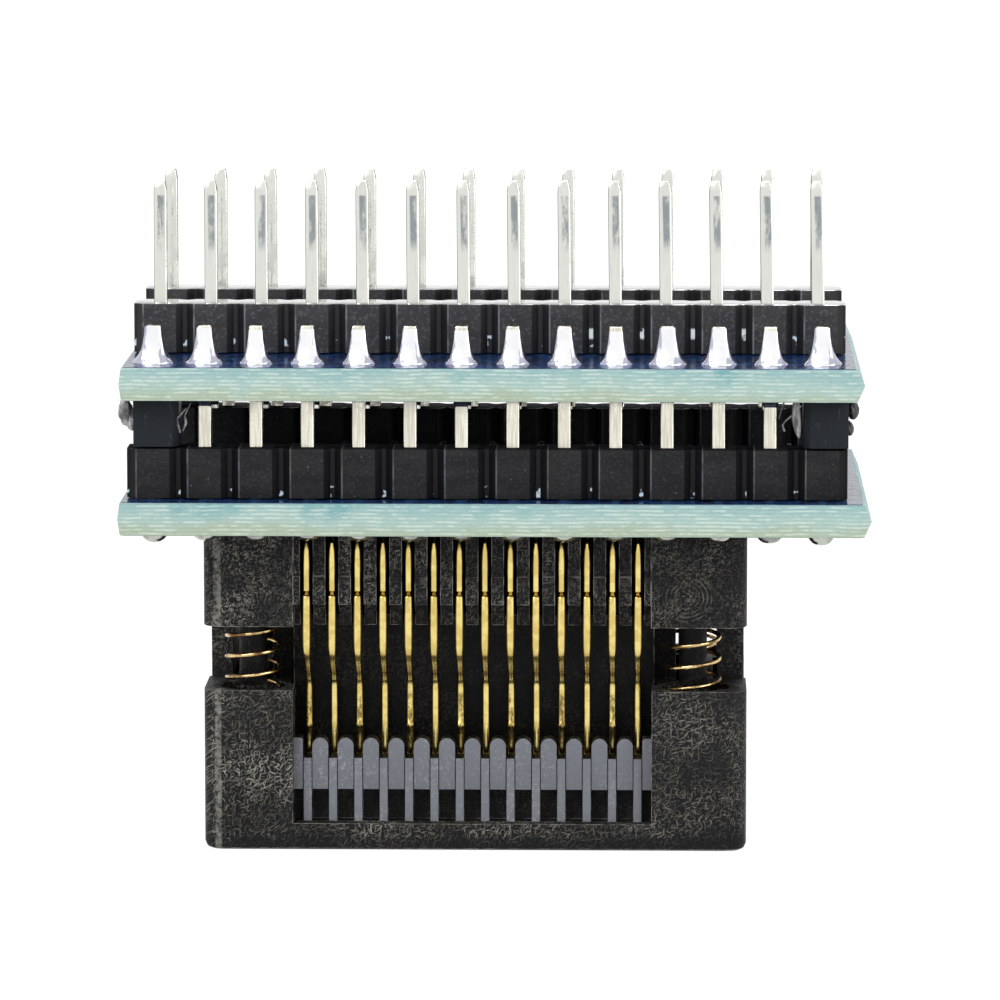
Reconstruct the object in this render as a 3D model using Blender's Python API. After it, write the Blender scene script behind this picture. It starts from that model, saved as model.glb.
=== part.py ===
"""A 28-pin chip test adapter, pins up: two boards on pin rows over a spring-loaded chip socket.

Lengths are in metres and +Z is up. X runs along the pin rows and the front long side faces -Y.
The adapter stands on the socket's cover, whose face lies at z = 0.
"""
import math

import bmesh
import bpy

# Pin rows, and how far the boards reach past their first and last pins
PITCH = 0.00254
PINS_PER_ROW = 14
PIN_WIDTH = 0.00064
LOWER_LEFT_MARGIN = 0.00165
LOWER_RIGHT_MARGIN = 0.00243
UPPER_LEFT_MARGIN = 0.00154
UPPER_RIGHT_MARGIN = 0.00206
ROWS_X = (LOWER_LEFT_MARGIN - LOWER_RIGHT_MARGIN) / 2
FIRST_PIN_X = ROWS_X - (PINS_PER_ROW - 1) * PITCH / 2
LAST_PIN_X = ROWS_X + (PINS_PER_ROW - 1) * PITCH / 2
LONG_ROW_Y = 0.00381
LONG_PIN_EXPOSED = 0.0061
LONG_PIN_STUB = 0.0012
LINK_PIN_STUB = 0.00185
LINK_PIN_FOOT = 0.00045
PIN_TAPER = 0.0005
PIN_TIP_WIDTH = 0.00034

# Insulating strips on the pin rows
STRIP_HEIGHT = 0.00244
STRIP_WIDTH = 0.00254
NOTCH_WIDTH = 0.00085
NOTCH_DEPTH = 0.00042
WEB_WIDTH = 0.00022
SPACER_WIDTH = 0.0025
SPACER_LEFT = 0.00093
SPACER_RIGHT = 0.0013

# Clearance between pieces that rest on each other, and round a pin in its hole
SEAT_GAP = 0.0001
HOLE_CLEARANCE = 0.00013

# Socket housings, from the middle of the contact rows
SOCKET_X = ROWS_X - 0.00079
FACE_Y = 0.0081
BASE_HEIGHT = 0.00493
COVER_HEIGHT = 0.00808
COVER_TRAVEL = 0.003
COVER_GAP = COVER_TRAVEL + 2 * SEAT_GAP
CORNER_ROUND = 0.0009
CORNER_STEPS = 3
COVER_EDGE_ROUND = 0.00035

# Springs and their bores
WIRE_RADIUS = 0.00012
COIL_PITCH = 0.00106
COIL_OUTER_Z = 0.0106
SPRING_RADIUS = 0.00133
BORE_RADIUS = SPRING_RADIUS + WIRE_RADIUS + 2 * SEAT_GAP
BORE_OUTER_WALL = 0.00025
BORE_END_WALL = 0.00075
BORE_INNER_WALL = 0.00015
BASE_BORE_DEPTH = 0.001
COVER_BORE_DEPTH = 0.0034
POST_RADIUS = 0.0007
POST_REACH = 0.0003

# Places across the socket, from its long faces in
SPRING_Y = FACE_Y - BORE_OUTER_WALL - BORE_RADIUS
GUIDE_SPACE_HALF_Y = SPRING_Y - BORE_RADIUS - BORE_INNER_WALL
STEM_Y = FACE_Y - 0.00035
RIB_FACE_Y = FACE_Y - 0.0002
RECESS_FLOOR_Y = FACE_Y - 0.0009
COMB_FACE_Y = FACE_Y - 0.0008
COMB_DEPTH = 0.0014
OPENING_HALF_Y = COMB_FACE_Y - COMB_DEPTH
COMB_BACK = 0.0006

# Contacts
CONTACTS_PER_ROW = 14
CONTACT_PITCH = 0.00127
CONTACT_THICK = 0.00038
CONTACT_WIDTH = 0.0004
TAIL_OUTER_Y = STEM_Y - 0.00075
TAIL_ROW_STEP = 0.00254
TAIL_PROTRUDES = 0.0009
BACK_BULGE = 0.00015
STEM_TOP_DROP = 0.0006
STEM_LENGTH = 0.0027
BACK_LENGTH = 0.0030
LEVER_CLEARANCE = 0.0003
LEVER_Y = OPENING_HALF_Y - LEVER_CLEARANCE
LEVER_SHOULDER_DROP = 0.0017
LEVER_HOOK = 0.0006
TIP_Z = 0.00445

# Slots and ribs of the base that guide the contacts
ROW_HALF_X = (CONTACTS_PER_ROW - 1) * CONTACT_PITCH / 2
SLOT_WIDTH = CONTACT_THICK + 2 * HOLE_CLEARANCE
RIB_STEP_DEPTH = 0.00015
RIB_STEP_DROP = 0.0024
RIB_LENGTH = 0.00382
RECESS_HALF_X = ROW_HALF_X + 0.00065

# Chip seat
SEAT_Z = 0.00478
SEAT_HALF_X = ROW_HALF_X + 0.0008
SEAT_HALF_Y = LEVER_Y - CONTACT_WIDTH - LEVER_CLEARANCE
SEAT_GROOVE_HALF_X = 0.0065
SEAT_GROOVE_HALF_Y = 0.0016
SEAT_GROOVE_DEPTH = 0.0008
END_GUIDE_THICK = 0.0011
END_GUIDE_DROP = 0.0011
END_GUIDE_SLOPE = 0.0006

# Opening, side windows and comb of the cover
SEAT_CLEARANCE = 0.00015
OPENING_HALF_X = SEAT_HALF_X + SEAT_CLEARANCE
GUIDE_OPENING_HALF_X = SEAT_HALF_X + END_GUIDE_THICK + 3 * SEAT_CLEARANCE
GUIDE_OPENING_HALF_Y = GUIDE_SPACE_HALF_Y - 0.0002
END_GUIDE_HALF_Y = GUIDE_OPENING_HALF_Y - 2 * SEAT_CLEARANCE
WINDOW_HALF_X = ROW_HALF_X + 0.0007
WINDOW_SILL_Z = 0.00137
CAM_WIDTH = 0.0004
CAM_TOP_Z = 0.00455
TAB_WIDTH = 0.0008
TAB_TOP_Z = 0.00557
TAB_BOTTOM_Z = 0.00297
TAB_POINT = 0.00025

# Places along the socket, from the opening out
SPRING_X = OPENING_HALF_X + BORE_INNER_WALL + BORE_RADIUS
SIDE_HALF_X = SPRING_X + BORE_RADIUS + BORE_END_WALL

# Guide tongues of the base, which the cover slides on
GUIDE_CLEARANCE = 0.0002
GUIDE_FLOOR_Z = 0.00183
BARB = 0.0005
BARB_HEIGHT = 0.0009
TONGUE_THICK = 0.00115
TONGUE_X = SIDE_HALF_X - TONGUE_THICK
TONGUE_HALF_Y = GUIDE_SPACE_HALF_Y - GUIDE_CLEARANCE - 2 * BARB

# Boards, whose link rows stand just outside the socket's faces
LINK_ROW_Y = FACE_Y + 0.00079
BOARD_THICK = 0.0016
BOARD_DEPTH = 2 * (LINK_ROW_Y + PITCH)
BOARD_GAP = 0.00508
LEFT_END_SLANT = 0.00012
RIGHT_END_SLANT = 0.00036

# Overshoot of cutters and depth to which joined pieces run into each other
OVER = 0.0005
BITE = 0.0002

ROUND_SIDES = 14
COIL_STEPS = 8
WIRE_SIDES = 4

# Levels, from the cover's face up
COVER_TOP_Z = COVER_HEIGHT
BASE_BOTTOM_Z = COVER_TOP_Z + COVER_GAP
BASE_TOP_Z = BASE_BOTTOM_Z + BASE_HEIGHT
LOWER_BOTTOM_Z = BASE_TOP_Z + SEAT_GAP
LOWER_TOP_Z = LOWER_BOTTOM_Z + BOARD_THICK
UPPER_BOTTOM_Z = LOWER_TOP_Z + BOARD_GAP
UPPER_TOP_Z = UPPER_BOTTOM_Z + BOARD_THICK
LINK_STRIP_Z = LOWER_TOP_Z + SEAT_GAP
SPACER_Z = LINK_STRIP_Z + STRIP_HEIGHT + SEAT_GAP
LONG_STRIP_Z = UPPER_TOP_Z + SEAT_GAP

# Colour, metallic, roughness
BLACK_PLASTIC = ("black_plastic", (0.035, 0.035, 0.037), 0.0, 0.5)
STRIP_PLASTIC = ("strip_plastic", (0.03, 0.03, 0.033), 0.0, 0.42)
GLASS_BOARD = ("glass_board", (0.42, 0.55, 0.48), 0.0, 0.45)
GOLD = ("gold_contact", (0.86, 0.68, 0.3), 1.0, 0.25)
STEEL = ("spring_wire", (0.72, 0.62, 0.4), 1.0, 0.3)


def clear_scene():
    """Remove every object of the opened scene."""
    for obj in list(bpy.data.objects):
        bpy.data.objects.remove(obj, do_unlink=True)


def material(spec):
    """Return the Principled material of a (name, colour, metallic, roughness) entry."""
    name, colour, metallic, roughness = spec
    found = bpy.data.materials.get(name)
    if found:
        return found
    made = bpy.data.materials.new(name)
    made.use_nodes = True
    shader = made.node_tree.nodes["Principled BSDF"]
    shader.inputs["Base Color"].default_value = (*colour, 1.0)
    shader.inputs["Metallic"].default_value = metallic
    shader.inputs["Roughness"].default_value = roughness
    made.diffuse_color = (*colour, 1.0)
    return made


def add_prism(mesh, outline, axis, low, high):
    """Add an outline of 2-D points to mesh as a prism along axis 'x', 'y' or 'z', low to high."""
    place = {
        "x": lambda a, b, c: (c, a, b),
        "y": lambda a, b, c: (a, c, b),
        "z": lambda a, b, c: (a, b, c),
    }[axis]
    ends = [[mesh.verts.new(place(a, b, c)) for a, b in outline] for c in (low, high)]
    faces = [mesh.faces.new(end) for end in ends]
    for i in range(len(outline)):
        j = (i + 1) % len(outline)
        faces.append(mesh.faces.new((ends[0][i], ends[0][j], ends[1][j], ends[1][i])))
    bmesh.ops.recalc_face_normals(mesh, faces=faces)


def add_box(mesh, x, y, z):
    """Add a box with the given (low, high) ranges."""
    outline = [(x[0], y[0]), (x[1], y[0]), (x[1], y[1]), (x[0], y[1])]
    add_prism(mesh, outline, "z", z[0], z[1])


def add_post(mesh, x, y, radius, z):
    """Add a round upright prism."""
    turns = [2 * math.pi * i / ROUND_SIDES for i in range(ROUND_SIDES)]
    outline = [(x + radius * math.cos(t), y + radius * math.sin(t)) for t in turns]
    add_prism(mesh, outline, "z", z[0], z[1])


def make_object(name, mesh, finish=None, place=(0.0, 0.0, 0.0), parent=None):
    """Turn a bmesh into a named object at place, with its finish."""
    data = bpy.data.meshes.new(name)
    mesh.to_mesh(data)
    mesh.free()
    obj = bpy.data.objects.new(name, data)
    bpy.context.scene.collection.objects.link(obj)
    obj.location = place
    obj.parent = parent
    if finish:
        data.materials.append(material(finish))
    return obj


def tool(name, mesh, parent):
    """Turn a bmesh into a hidden shape that only cuts or joins, in its parent's own space."""
    obj = make_object(name, mesh, parent=parent)
    obj.hide_render = True
    obj.display_type = "WIRE"
    return obj


def combine(obj, other, operation):
    """Cut other from obj ('DIFFERENCE') or join it on ('UNION')."""
    step = obj.modifiers.new(other.name, "BOOLEAN")
    step.operation = operation
    step.solver = "EXACT"
    step.object = other


def row_positions(count, pitch, middle=0.0):
    """Return the places of count pieces at pitch about middle."""
    return [middle + (i - (count - 1) / 2) * pitch for i in range(count)]


def strip_outline():
    """Return a breakaway strip's plan about its middle, notched between its cells."""
    half_length = PINS_PER_ROW * PITCH / 2
    half_width = STRIP_WIDTH / 2
    side = []
    for i in range(PINS_PER_ROW + 1):
        x = -half_length + i * PITCH
        notch = [
            (x - NOTCH_WIDTH / 2, half_width),
            (x - WEB_WIDTH / 2, half_width - NOTCH_DEPTH),
            (x + WEB_WIDTH / 2, half_width - NOTCH_DEPTH),
            (x + NOTCH_WIDTH / 2, half_width),
        ]
        side += [(min(max(a, -half_length), half_length), b) for a, b in notch[2 * (i == 0):]]
        if i == PINS_PER_ROW:
            side = side[:-2]
    return [(-x, -y) for x, y in side] + side


def add_pin(mesh, x, low, high, taper):
    """Add a square pin from low to high, with its upper end tapered over the length taper."""
    half = PIN_WIDTH / 2
    tip = PIN_TIP_WIDTH / 2 if taper else half
    rings = [(half, low), (half, high - taper), (tip, high)] if taper else [(half, low), (half, high)]
    corners = [(-1, -1), (1, -1), (1, 1), (-1, 1)]
    loops = [[mesh.verts.new((x + a * h, b * h, z)) for a, b in corners] for h, z in rings]
    faces = [mesh.faces.new(loops[0]), mesh.faces.new(loops[-1])]
    for lower, upper in zip(loops, loops[1:]):
        for i in range(4):
            j = (i + 1) % 4
            faces.append(mesh.faces.new((lower[i], lower[j], upper[j], upper[i])))
    bmesh.ops.recalc_face_normals(mesh, faces=faces)


def make_header(name, row_y, strip_z, pin_low, pin_high, taper):
    """Make one row: a notched strip and its square pins, which are moulded in."""
    strip = bmesh.new()
    add_prism(strip, strip_outline(), "z", 0.0, STRIP_HEIGHT)
    header = make_object(name, strip, STRIP_PLASTIC, (ROWS_X, row_y, strip_z))
    pins = bmesh.new()
    for x in row_positions(PINS_PER_ROW, PITCH):
        add_pin(pins, x, pin_low - strip_z, pin_high - strip_z, taper)
    combine(header, tool(name + "_pins", pins, header), "UNION")


def make_headers():
    """Make the two long-pin rows and the two rows that link the boards."""
    long_low = UPPER_BOTTOM_Z - LONG_PIN_STUB
    long_high = LONG_STRIP_Z + STRIP_HEIGHT + LONG_PIN_EXPOSED
    link_low = LOWER_BOTTOM_Z - LINK_PIN_FOOT
    link_high = UPPER_TOP_Z + LINK_PIN_STUB
    for side, sign in (("front", -1), ("rear", 1)):
        make_header(f"long_pin_row_{side}", sign * LONG_ROW_Y, LONG_STRIP_Z,
                    long_low, long_high, PIN_TAPER)
        make_header(f"link_pin_row_{side}", sign * LINK_ROW_Y, LINK_STRIP_Z,
                    link_low, link_high, 0.0)


def spacer_outline():
    """Return a spacer's plan about its pin: one cell off a strip, with chamfered corners."""
    half = SPACER_WIDTH / 2
    slope = (NOTCH_WIDTH - WEB_WIDTH) / 2
    side = [
        (SPACER_RIGHT, half - NOTCH_DEPTH),
        (SPACER_RIGHT - slope, half),
        (slope - SPACER_LEFT, half),
        (-SPACER_LEFT, half - NOTCH_DEPTH),
    ]
    return [(x, -y) for x, y in reversed(side)] + side


def make_spacers():
    """Make the four single spacers on the outermost link pins."""
    height = UPPER_BOTTOM_Z - SEAT_GAP - SPACER_Z
    hole = PIN_WIDTH / 2 + HOLE_CLEARANCE
    for pin_x, end in ((FIRST_PIN_X, "left"), (LAST_PIN_X, "right")):
        for side, sign in (("front", -1), ("rear", 1)):
            body = bmesh.new()
            add_prism(body, spacer_outline(), "z", 0.0, height)
            spacer = make_object(f"spacer_{side}_{end}", body, BLACK_PLASTIC,
                                 (pin_x, sign * LINK_ROW_Y, SPACER_Z))
            bore = bmesh.new()
            add_box(bore, (-hole, hole), (-hole, hole), (-OVER, height + OVER))
            combine(spacer, tool(spacer.name + "_bore", bore, spacer), "DIFFERENCE")


def board_outline(left, right):
    """Return a board's long section, with ends slanted both ways from a snapped score line."""
    return [
        (left + LEFT_END_SLANT, 0.0),
        (right - RIGHT_END_SLANT, 0.0),
        (right, BOARD_THICK / 2),
        (right - RIGHT_END_SLANT, BOARD_THICK),
        (left + LEFT_END_SLANT, BOARD_THICK),
        (left, BOARD_THICK / 2),
    ]


def add_hole(mesh, x, y, half_x, half_y):
    """Add a hole's cutter through a board."""
    add_box(mesh, (x - half_x, x + half_x), (y - half_y, y + half_y), (-OVER, BOARD_THICK + OVER))


def make_board(name, left, right, bottom_z, holes):
    """Make a board from its left to its right end, with holes given as (x, y, half_x, half_y)."""
    plate = bmesh.new()
    add_prism(plate, board_outline(left, right), "y", -BOARD_DEPTH / 2, BOARD_DEPTH / 2)
    board = make_object(name, plate, GLASS_BOARD, (0.0, 0.0, bottom_z))
    cutter = bmesh.new()
    for x, y, half_x, half_y in holes:
        add_hole(cutter, x, y, half_x, half_y)
    combine(board, tool(name + "_holes", cutter, board), "DIFFERENCE")


def tail_y(index):
    """Return a contact's tail distance from the middle: outer and inner rows take turns."""
    return TAIL_OUTER_Y - (index % 2) * TAIL_ROW_STEP


def make_boards():
    """Make both boards, drilled for the pins and the socket's tails."""
    pin_half = PIN_WIDTH / 2 + HOLE_CLEARANCE
    columns = row_positions(PINS_PER_ROW, PITCH, ROWS_X)
    link_holes = [(x, y, pin_half, pin_half) for x in columns for y in (-LINK_ROW_Y, LINK_ROW_Y)]
    long_holes = [(x, y, pin_half, pin_half) for x in columns for y in (-LONG_ROW_Y, LONG_ROW_Y)]
    tail_holes = []
    for i, x in enumerate(row_positions(CONTACTS_PER_ROW, CONTACT_PITCH)):
        for sign in (-1, 1):
            tail_holes.append((SOCKET_X - sign * x, sign * tail_y(i),
                               CONTACT_THICK / 2 + HOLE_CLEARANCE, CONTACT_WIDTH / 2 + HOLE_CLEARANCE))
    make_board("lower_board", FIRST_PIN_X - LOWER_LEFT_MARGIN, LAST_PIN_X + LOWER_RIGHT_MARGIN,
               LOWER_BOTTOM_Z, link_holes + tail_holes)
    make_board("upper_board", FIRST_PIN_X - UPPER_LEFT_MARGIN, LAST_PIN_X + UPPER_RIGHT_MARGIN,
               UPPER_BOTTOM_Z, link_holes + long_holes)


def contact_outline(index):
    """Return a contact's side view: distance from the socket's middle, and height.

    It runs from the tail down the outer side of the stem and the bowed back, along the
    lever to its hooked tip, and back up the inner side.
    """
    tail = tail_y(index)
    half = CONTACT_WIDTH / 2
    top = LOWER_TOP_Z + TAIL_PROTRUDES
    stem_top = BASE_TOP_Z - STEM_TOP_DROP
    stem_end = stem_top - STEM_LENGTH
    back_end = stem_end - BACK_LENGTH
    shoulder = back_end - LEVER_SHOULDER_DROP
    back = STEM_Y + BACK_BULGE
    lever_in = LEVER_Y - CONTACT_WIDTH
    hook_rise = CONTACT_WIDTH
    outer = [
        (tail + half, top),
        (tail + half, stem_top + half),
        (STEM_Y, stem_top),
        (STEM_Y, stem_end),
        (back, stem_end - BACK_BULGE),
        (back, back_end + BACK_BULGE),
        (back - CONTACT_WIDTH, back_end - CONTACT_WIDTH),
        (LEVER_Y + CONTACT_WIDTH, shoulder + CONTACT_WIDTH),
        (LEVER_Y, shoulder),
        (LEVER_Y, TIP_Z + half),
        (LEVER_Y - half, TIP_Z),
    ]
    inner = [
        (lever_in - LEVER_HOOK + half, TIP_Z),
        (lever_in - LEVER_HOOK, TIP_Z + hook_rise),
        (lever_in, TIP_Z + hook_rise),
        (lever_in, shoulder + half),
        (LEVER_Y, shoulder + 2 * CONTACT_WIDTH),
        (back - 2 * CONTACT_WIDTH, back_end),
        (back - CONTACT_WIDTH, back_end + CONTACT_WIDTH),
        (STEM_Y - CONTACT_WIDTH, stem_end),
        (STEM_Y - CONTACT_WIDTH, stem_top - CONTACT_WIDTH),
        (tail - half, stem_top - CONTACT_WIDTH),
        (tail - half, top),
    ]
    return outer + inner


def make_contacts():
    """Make the spring contacts of both rows, each facing the socket's middle."""
    half = CONTACT_THICK / 2
    for side, sign in (("front", -1), ("rear", 1)):
        for i, x in enumerate(row_positions(CONTACTS_PER_ROW, CONTACT_PITCH)):
            blade = bmesh.new()
            outline = [(sign * y, z) for y, z in contact_outline(i)]
            add_prism(blade, outline, "x", -half, half)
            make_object(f"contact_{side}_{i + 1:02d}", blade, GOLD, (SOCKET_X - sign * x, 0.0, 0.0))


def mirrored(quarter):
    """Return a closed outline from its (+x, +y) quarter, given from the x side to the y side."""
    return ([(x, -y) for x, y in reversed(quarter)] + quarter
            + [(-x, y) for x, y in reversed(quarter)] + [(-x, -y) for x, y in quarter])


def housing_outline():
    """Return the plan of the base and the cover, an oblong with rounded corners."""
    quarter = []
    for i in range(CORNER_STEPS + 1):
        turn = math.pi / 2 * i / CORNER_STEPS
        quarter.append((SIDE_HALF_X - CORNER_ROUND * (1 - math.cos(turn)),
                        FACE_Y - CORNER_ROUND * (1 - math.sin(turn))))
    return mirrored(quarter)


def four_corners(x, y):
    """Return the four places (+-x, +-y)."""
    return [(a * x, b * y) for a in (-1, 1) for b in (-1, 1)]


def make_base():
    """Make the socket base: slotted body, chip seat, spring posts and guide tongues."""
    body = bmesh.new()
    add_prism(body, housing_outline(), "z", BASE_BOTTOM_Z, BASE_TOP_Z)
    base = make_object("socket_base", body, BLACK_PLASTIC, (SOCKET_X, 0.0, 0.0))
    combine(base, tool("base_recess", base_recess(), base), "DIFFERENCE")
    combine(base, tool("base_slots", base_slots(), base), "DIFFERENCE")
    combine(base, tool("base_bores", base_bores(), base), "DIFFERENCE")
    combine(base, tool("base_seat", base_seat(), base), "UNION")
    combine(base, tool("base_seat_sides", base_seat_sides(), base), "UNION")
    combine(base, tool("base_posts", base_posts(), base), "UNION")
    combine(base, tool("base_tongues", base_tongues(), base), "UNION")
    combine(base, tool("base_groove", base_groove(), base), "DIFFERENCE")


def base_recess():
    """Return the cutter that sets back both comb faces: stepped above, deep below the ribs."""
    cutter = bmesh.new()
    step_z = BASE_TOP_Z - RIB_STEP_DROP
    rib_end_z = BASE_TOP_Z - RIB_LENGTH
    outline = [
        (FACE_Y + OVER, BASE_TOP_Z + OVER),
        (FACE_Y + OVER, BASE_BOTTOM_Z - OVER),
        (RECESS_FLOOR_Y, BASE_BOTTOM_Z - OVER),
        (RECESS_FLOOR_Y, rib_end_z),
        (RIB_FACE_Y, rib_end_z),
        (RIB_FACE_Y, step_z),
        (RIB_FACE_Y - RIB_STEP_DEPTH, step_z),
        (RIB_FACE_Y - RIB_STEP_DEPTH, BASE_TOP_Z + OVER),
    ]
    for sign in (-1, 1):
        add_prism(cutter, [(sign * y, z) for y, z in outline], "x", -RECESS_HALF_X, RECESS_HALF_X)
    return cutter


def base_slots():
    """Return the cutter for the upright slots that hold the contacts."""
    cutter = bmesh.new()
    inner = TAIL_OUTER_Y - TAIL_ROW_STEP - CONTACT_WIDTH / 2 - SEAT_GAP
    for x in row_positions(CONTACTS_PER_ROW, CONTACT_PITCH):
        for sign in (-1, 1):
            ends = sorted((sign * inner, sign * (FACE_Y + 2 * OVER)))
            add_box(cutter, (x - SLOT_WIDTH / 2, x + SLOT_WIDTH / 2), ends,
                    (BASE_BOTTOM_Z - OVER, BASE_TOP_Z + OVER))
    return cutter


def base_bores():
    """Return the cutter for the spring seats in the base's underside."""
    cutter = bmesh.new()
    for x, y in four_corners(SPRING_X, SPRING_Y):
        add_post(cutter, x, y, BORE_RADIUS, (BASE_BOTTOM_Z - OVER, BASE_BOTTOM_Z + BASE_BORE_DEPTH))
    return cutter


def base_posts():
    """Return the posts inside the springs, long enough to enter the cover's bores."""
    posts = bmesh.new()
    for x, y in four_corners(SPRING_X, SPRING_Y):
        add_post(posts, x, y, POST_RADIUS,
                 (COVER_TOP_Z - POST_REACH, BASE_BOTTOM_Z + BASE_BORE_DEPTH + BITE))
    return posts


def base_seat():
    """Return the chip seat with an end guide at each short side."""
    seat = bmesh.new()
    guide_x = SEAT_HALF_X + END_GUIDE_THICK
    foot_z = SEAT_Z - END_GUIDE_DROP
    root_z = BASE_BOTTOM_Z + BITE
    outline = [
        (-guide_x, root_z),
        (-guide_x, foot_z),
        (-SEAT_HALF_X - END_GUIDE_SLOPE, foot_z),
        (-SEAT_HALF_X, SEAT_Z - END_GUIDE_DROP / 2),
        (-SEAT_HALF_X, SEAT_Z),
        (SEAT_HALF_X, SEAT_Z),
        (SEAT_HALF_X, SEAT_Z - END_GUIDE_DROP / 2),
        (SEAT_HALF_X + END_GUIDE_SLOPE, foot_z),
        (guide_x, foot_z),
        (guide_x, root_z),
    ]
    add_prism(seat, outline, "y", -END_GUIDE_HALF_Y, END_GUIDE_HALF_Y)
    return seat


def base_seat_sides():
    """Return the two long sides of the chip seat, which carry the chip's leads."""
    sides = bmesh.new()
    for sign in (-1, 1):
        ends = sorted((sign * (END_GUIDE_HALF_Y - BITE), sign * SEAT_HALF_Y))
        add_box(sides, (-SEAT_HALF_X, SEAT_HALF_X), ends, (SEAT_Z, BASE_BOTTOM_Z + BITE))
    return sides


def base_groove():
    """Return the cutter for the shallow relief in the middle of the chip seat."""
    cutter = bmesh.new()
    add_box(cutter, (-SEAT_GROOVE_HALF_X, SEAT_GROOVE_HALF_X),
            (-SEAT_GROOVE_HALF_Y, SEAT_GROOVE_HALF_Y), (SEAT_Z - OVER, SEAT_Z + SEAT_GROOVE_DEPTH))
    return cutter


def base_tongues():
    """Return the barbed tongues that guide the cover and stop it at its rest height."""
    tongues = bmesh.new()
    tip_z = GUIDE_FLOOR_Z + COVER_TRAVEL + GUIDE_CLEARANCE
    barb_z = tip_z + BARB_HEIGHT
    half = TONGUE_HALF_Y
    outline = [
        (-half, BASE_BOTTOM_Z + BITE),
        (-half, barb_z),
        (-half - BARB, barb_z),
        (-half, tip_z),
        (half, tip_z),
        (half + BARB, barb_z),
        (half, barb_z),
        (half, BASE_BOTTOM_Z + BITE),
    ]
    for sign in (-1, 1):
        ends = sorted((sign * TONGUE_X, sign * (SIDE_HALF_X - SEAT_GAP)))
        add_prism(tongues, outline, "x", *ends)
    return tongues


def make_cover(joint_empty):
    """Make the sliding cover: open frame with spring bores, guide slots and two combs."""
    body = bmesh.new()
    add_prism(body, housing_outline(), "z", 0.0, COVER_HEIGHT)
    round_feet(body)
    cover = make_object("socket_cover", body, BLACK_PLASTIC, parent=joint_empty)
    combine(cover, tool("cover_opening", cover_opening(), cover), "DIFFERENCE")
    combine(cover, tool("cover_windows", cover_windows(), cover), "DIFFERENCE")
    combine(cover, tool("cover_bores", cover_bores(), cover), "DIFFERENCE")
    combine(cover, tool("cover_guides", cover_guides(), cover), "DIFFERENCE")
    combine(cover, tool("cover_comb_wall", comb_wall(), cover), "UNION")
    combine(cover, tool("cover_comb_tabs", comb_tabs(), cover), "UNION")


def round_feet(mesh):
    """Round the edges of the cover's outer face."""
    foot = [e for e in mesh.edges if all(v.co.z < OVER for v in e.verts)]
    bmesh.ops.bevel(mesh, geom=foot, offset=COVER_EDGE_ROUND, segments=2, profile=0.5,
                    affect="EDGES")


def cover_opening():
    """Return the cutter for the chip's way in, wider at the ends' middle for the end guides."""
    cutter = bmesh.new()
    ax, ay = OPENING_HALF_X, OPENING_HALF_Y
    bx, by = GUIDE_OPENING_HALF_X, GUIDE_OPENING_HALF_Y
    outline = mirrored([(bx, by), (ax, by), (ax, ay)])
    add_prism(cutter, outline, "z", -OVER, COVER_HEIGHT + OVER)
    return cutter


def cover_windows():
    """Return the cutter for the side windows, open towards the base."""
    cutter = bmesh.new()
    for sign in (-1, 1):
        ends = sorted((sign * (OPENING_HALF_Y - OVER), sign * (FACE_Y + OVER)))
        add_box(cutter, (-WINDOW_HALF_X, WINDOW_HALF_X), ends, (WINDOW_SILL_Z, COVER_HEIGHT + OVER))
    return cutter


def cover_bores():
    """Return the cutter for the spring bores in the cover."""
    cutter = bmesh.new()
    for x, y in four_corners(SPRING_X, SPRING_Y):
        add_post(cutter, x, y, BORE_RADIUS, (COVER_HEIGHT - COVER_BORE_DEPTH, COVER_HEIGHT + OVER))
    return cutter


def cover_guides():
    """Return the cutter for the end slots that take the base's barbed tongues."""
    cutter = bmesh.new()
    ledge_z = GUIDE_FLOOR_Z + COVER_TRAVEL + GUIDE_CLEARANCE + BARB_HEIGHT + SEAT_GAP
    neck = TONGUE_HALF_Y + GUIDE_CLEARANCE
    wide = neck + BARB
    outline = [
        (-neck, COVER_HEIGHT + OVER),
        (-neck, ledge_z),
        (-wide, ledge_z),
        (-wide, GUIDE_FLOOR_Z),
        (wide, GUIDE_FLOOR_Z),
        (wide, ledge_z),
        (neck, ledge_z),
        (neck, COVER_HEIGHT + OVER),
    ]
    for sign in (-1, 1):
        ends = sorted((sign * (TONGUE_X - GUIDE_CLEARANCE), sign * (SIDE_HALF_X + OVER)))
        add_prism(cutter, outline, "x", *ends)
    return cutter


def comb_wall():
    """Return the comb's thin back wall with one cam rib in line with each contact."""
    wall = bmesh.new()
    back_y = OPENING_HALF_Y
    face_y = OPENING_HALF_Y + COMB_BACK
    edge = WINDOW_HALF_X + BITE
    ribs = []
    for x in row_positions(CONTACTS_PER_ROW, CONTACT_PITCH):
        ribs += [
            (x - CAM_WIDTH / 2, face_y),
            (x - CAM_WIDTH / 2, COMB_FACE_Y),
            (x + CAM_WIDTH / 2, COMB_FACE_Y),
            (x + CAM_WIDTH / 2, face_y),
        ]
    outline = [(edge, face_y), (edge, back_y), (-edge, back_y), (-edge, face_y)] + ribs
    for sign in (-1, 1):
        add_prism(wall, [(x, sign * y) for x, y in outline], "z", WINDOW_SILL_Z - BITE, CAM_TOP_Z)
    return wall


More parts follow.
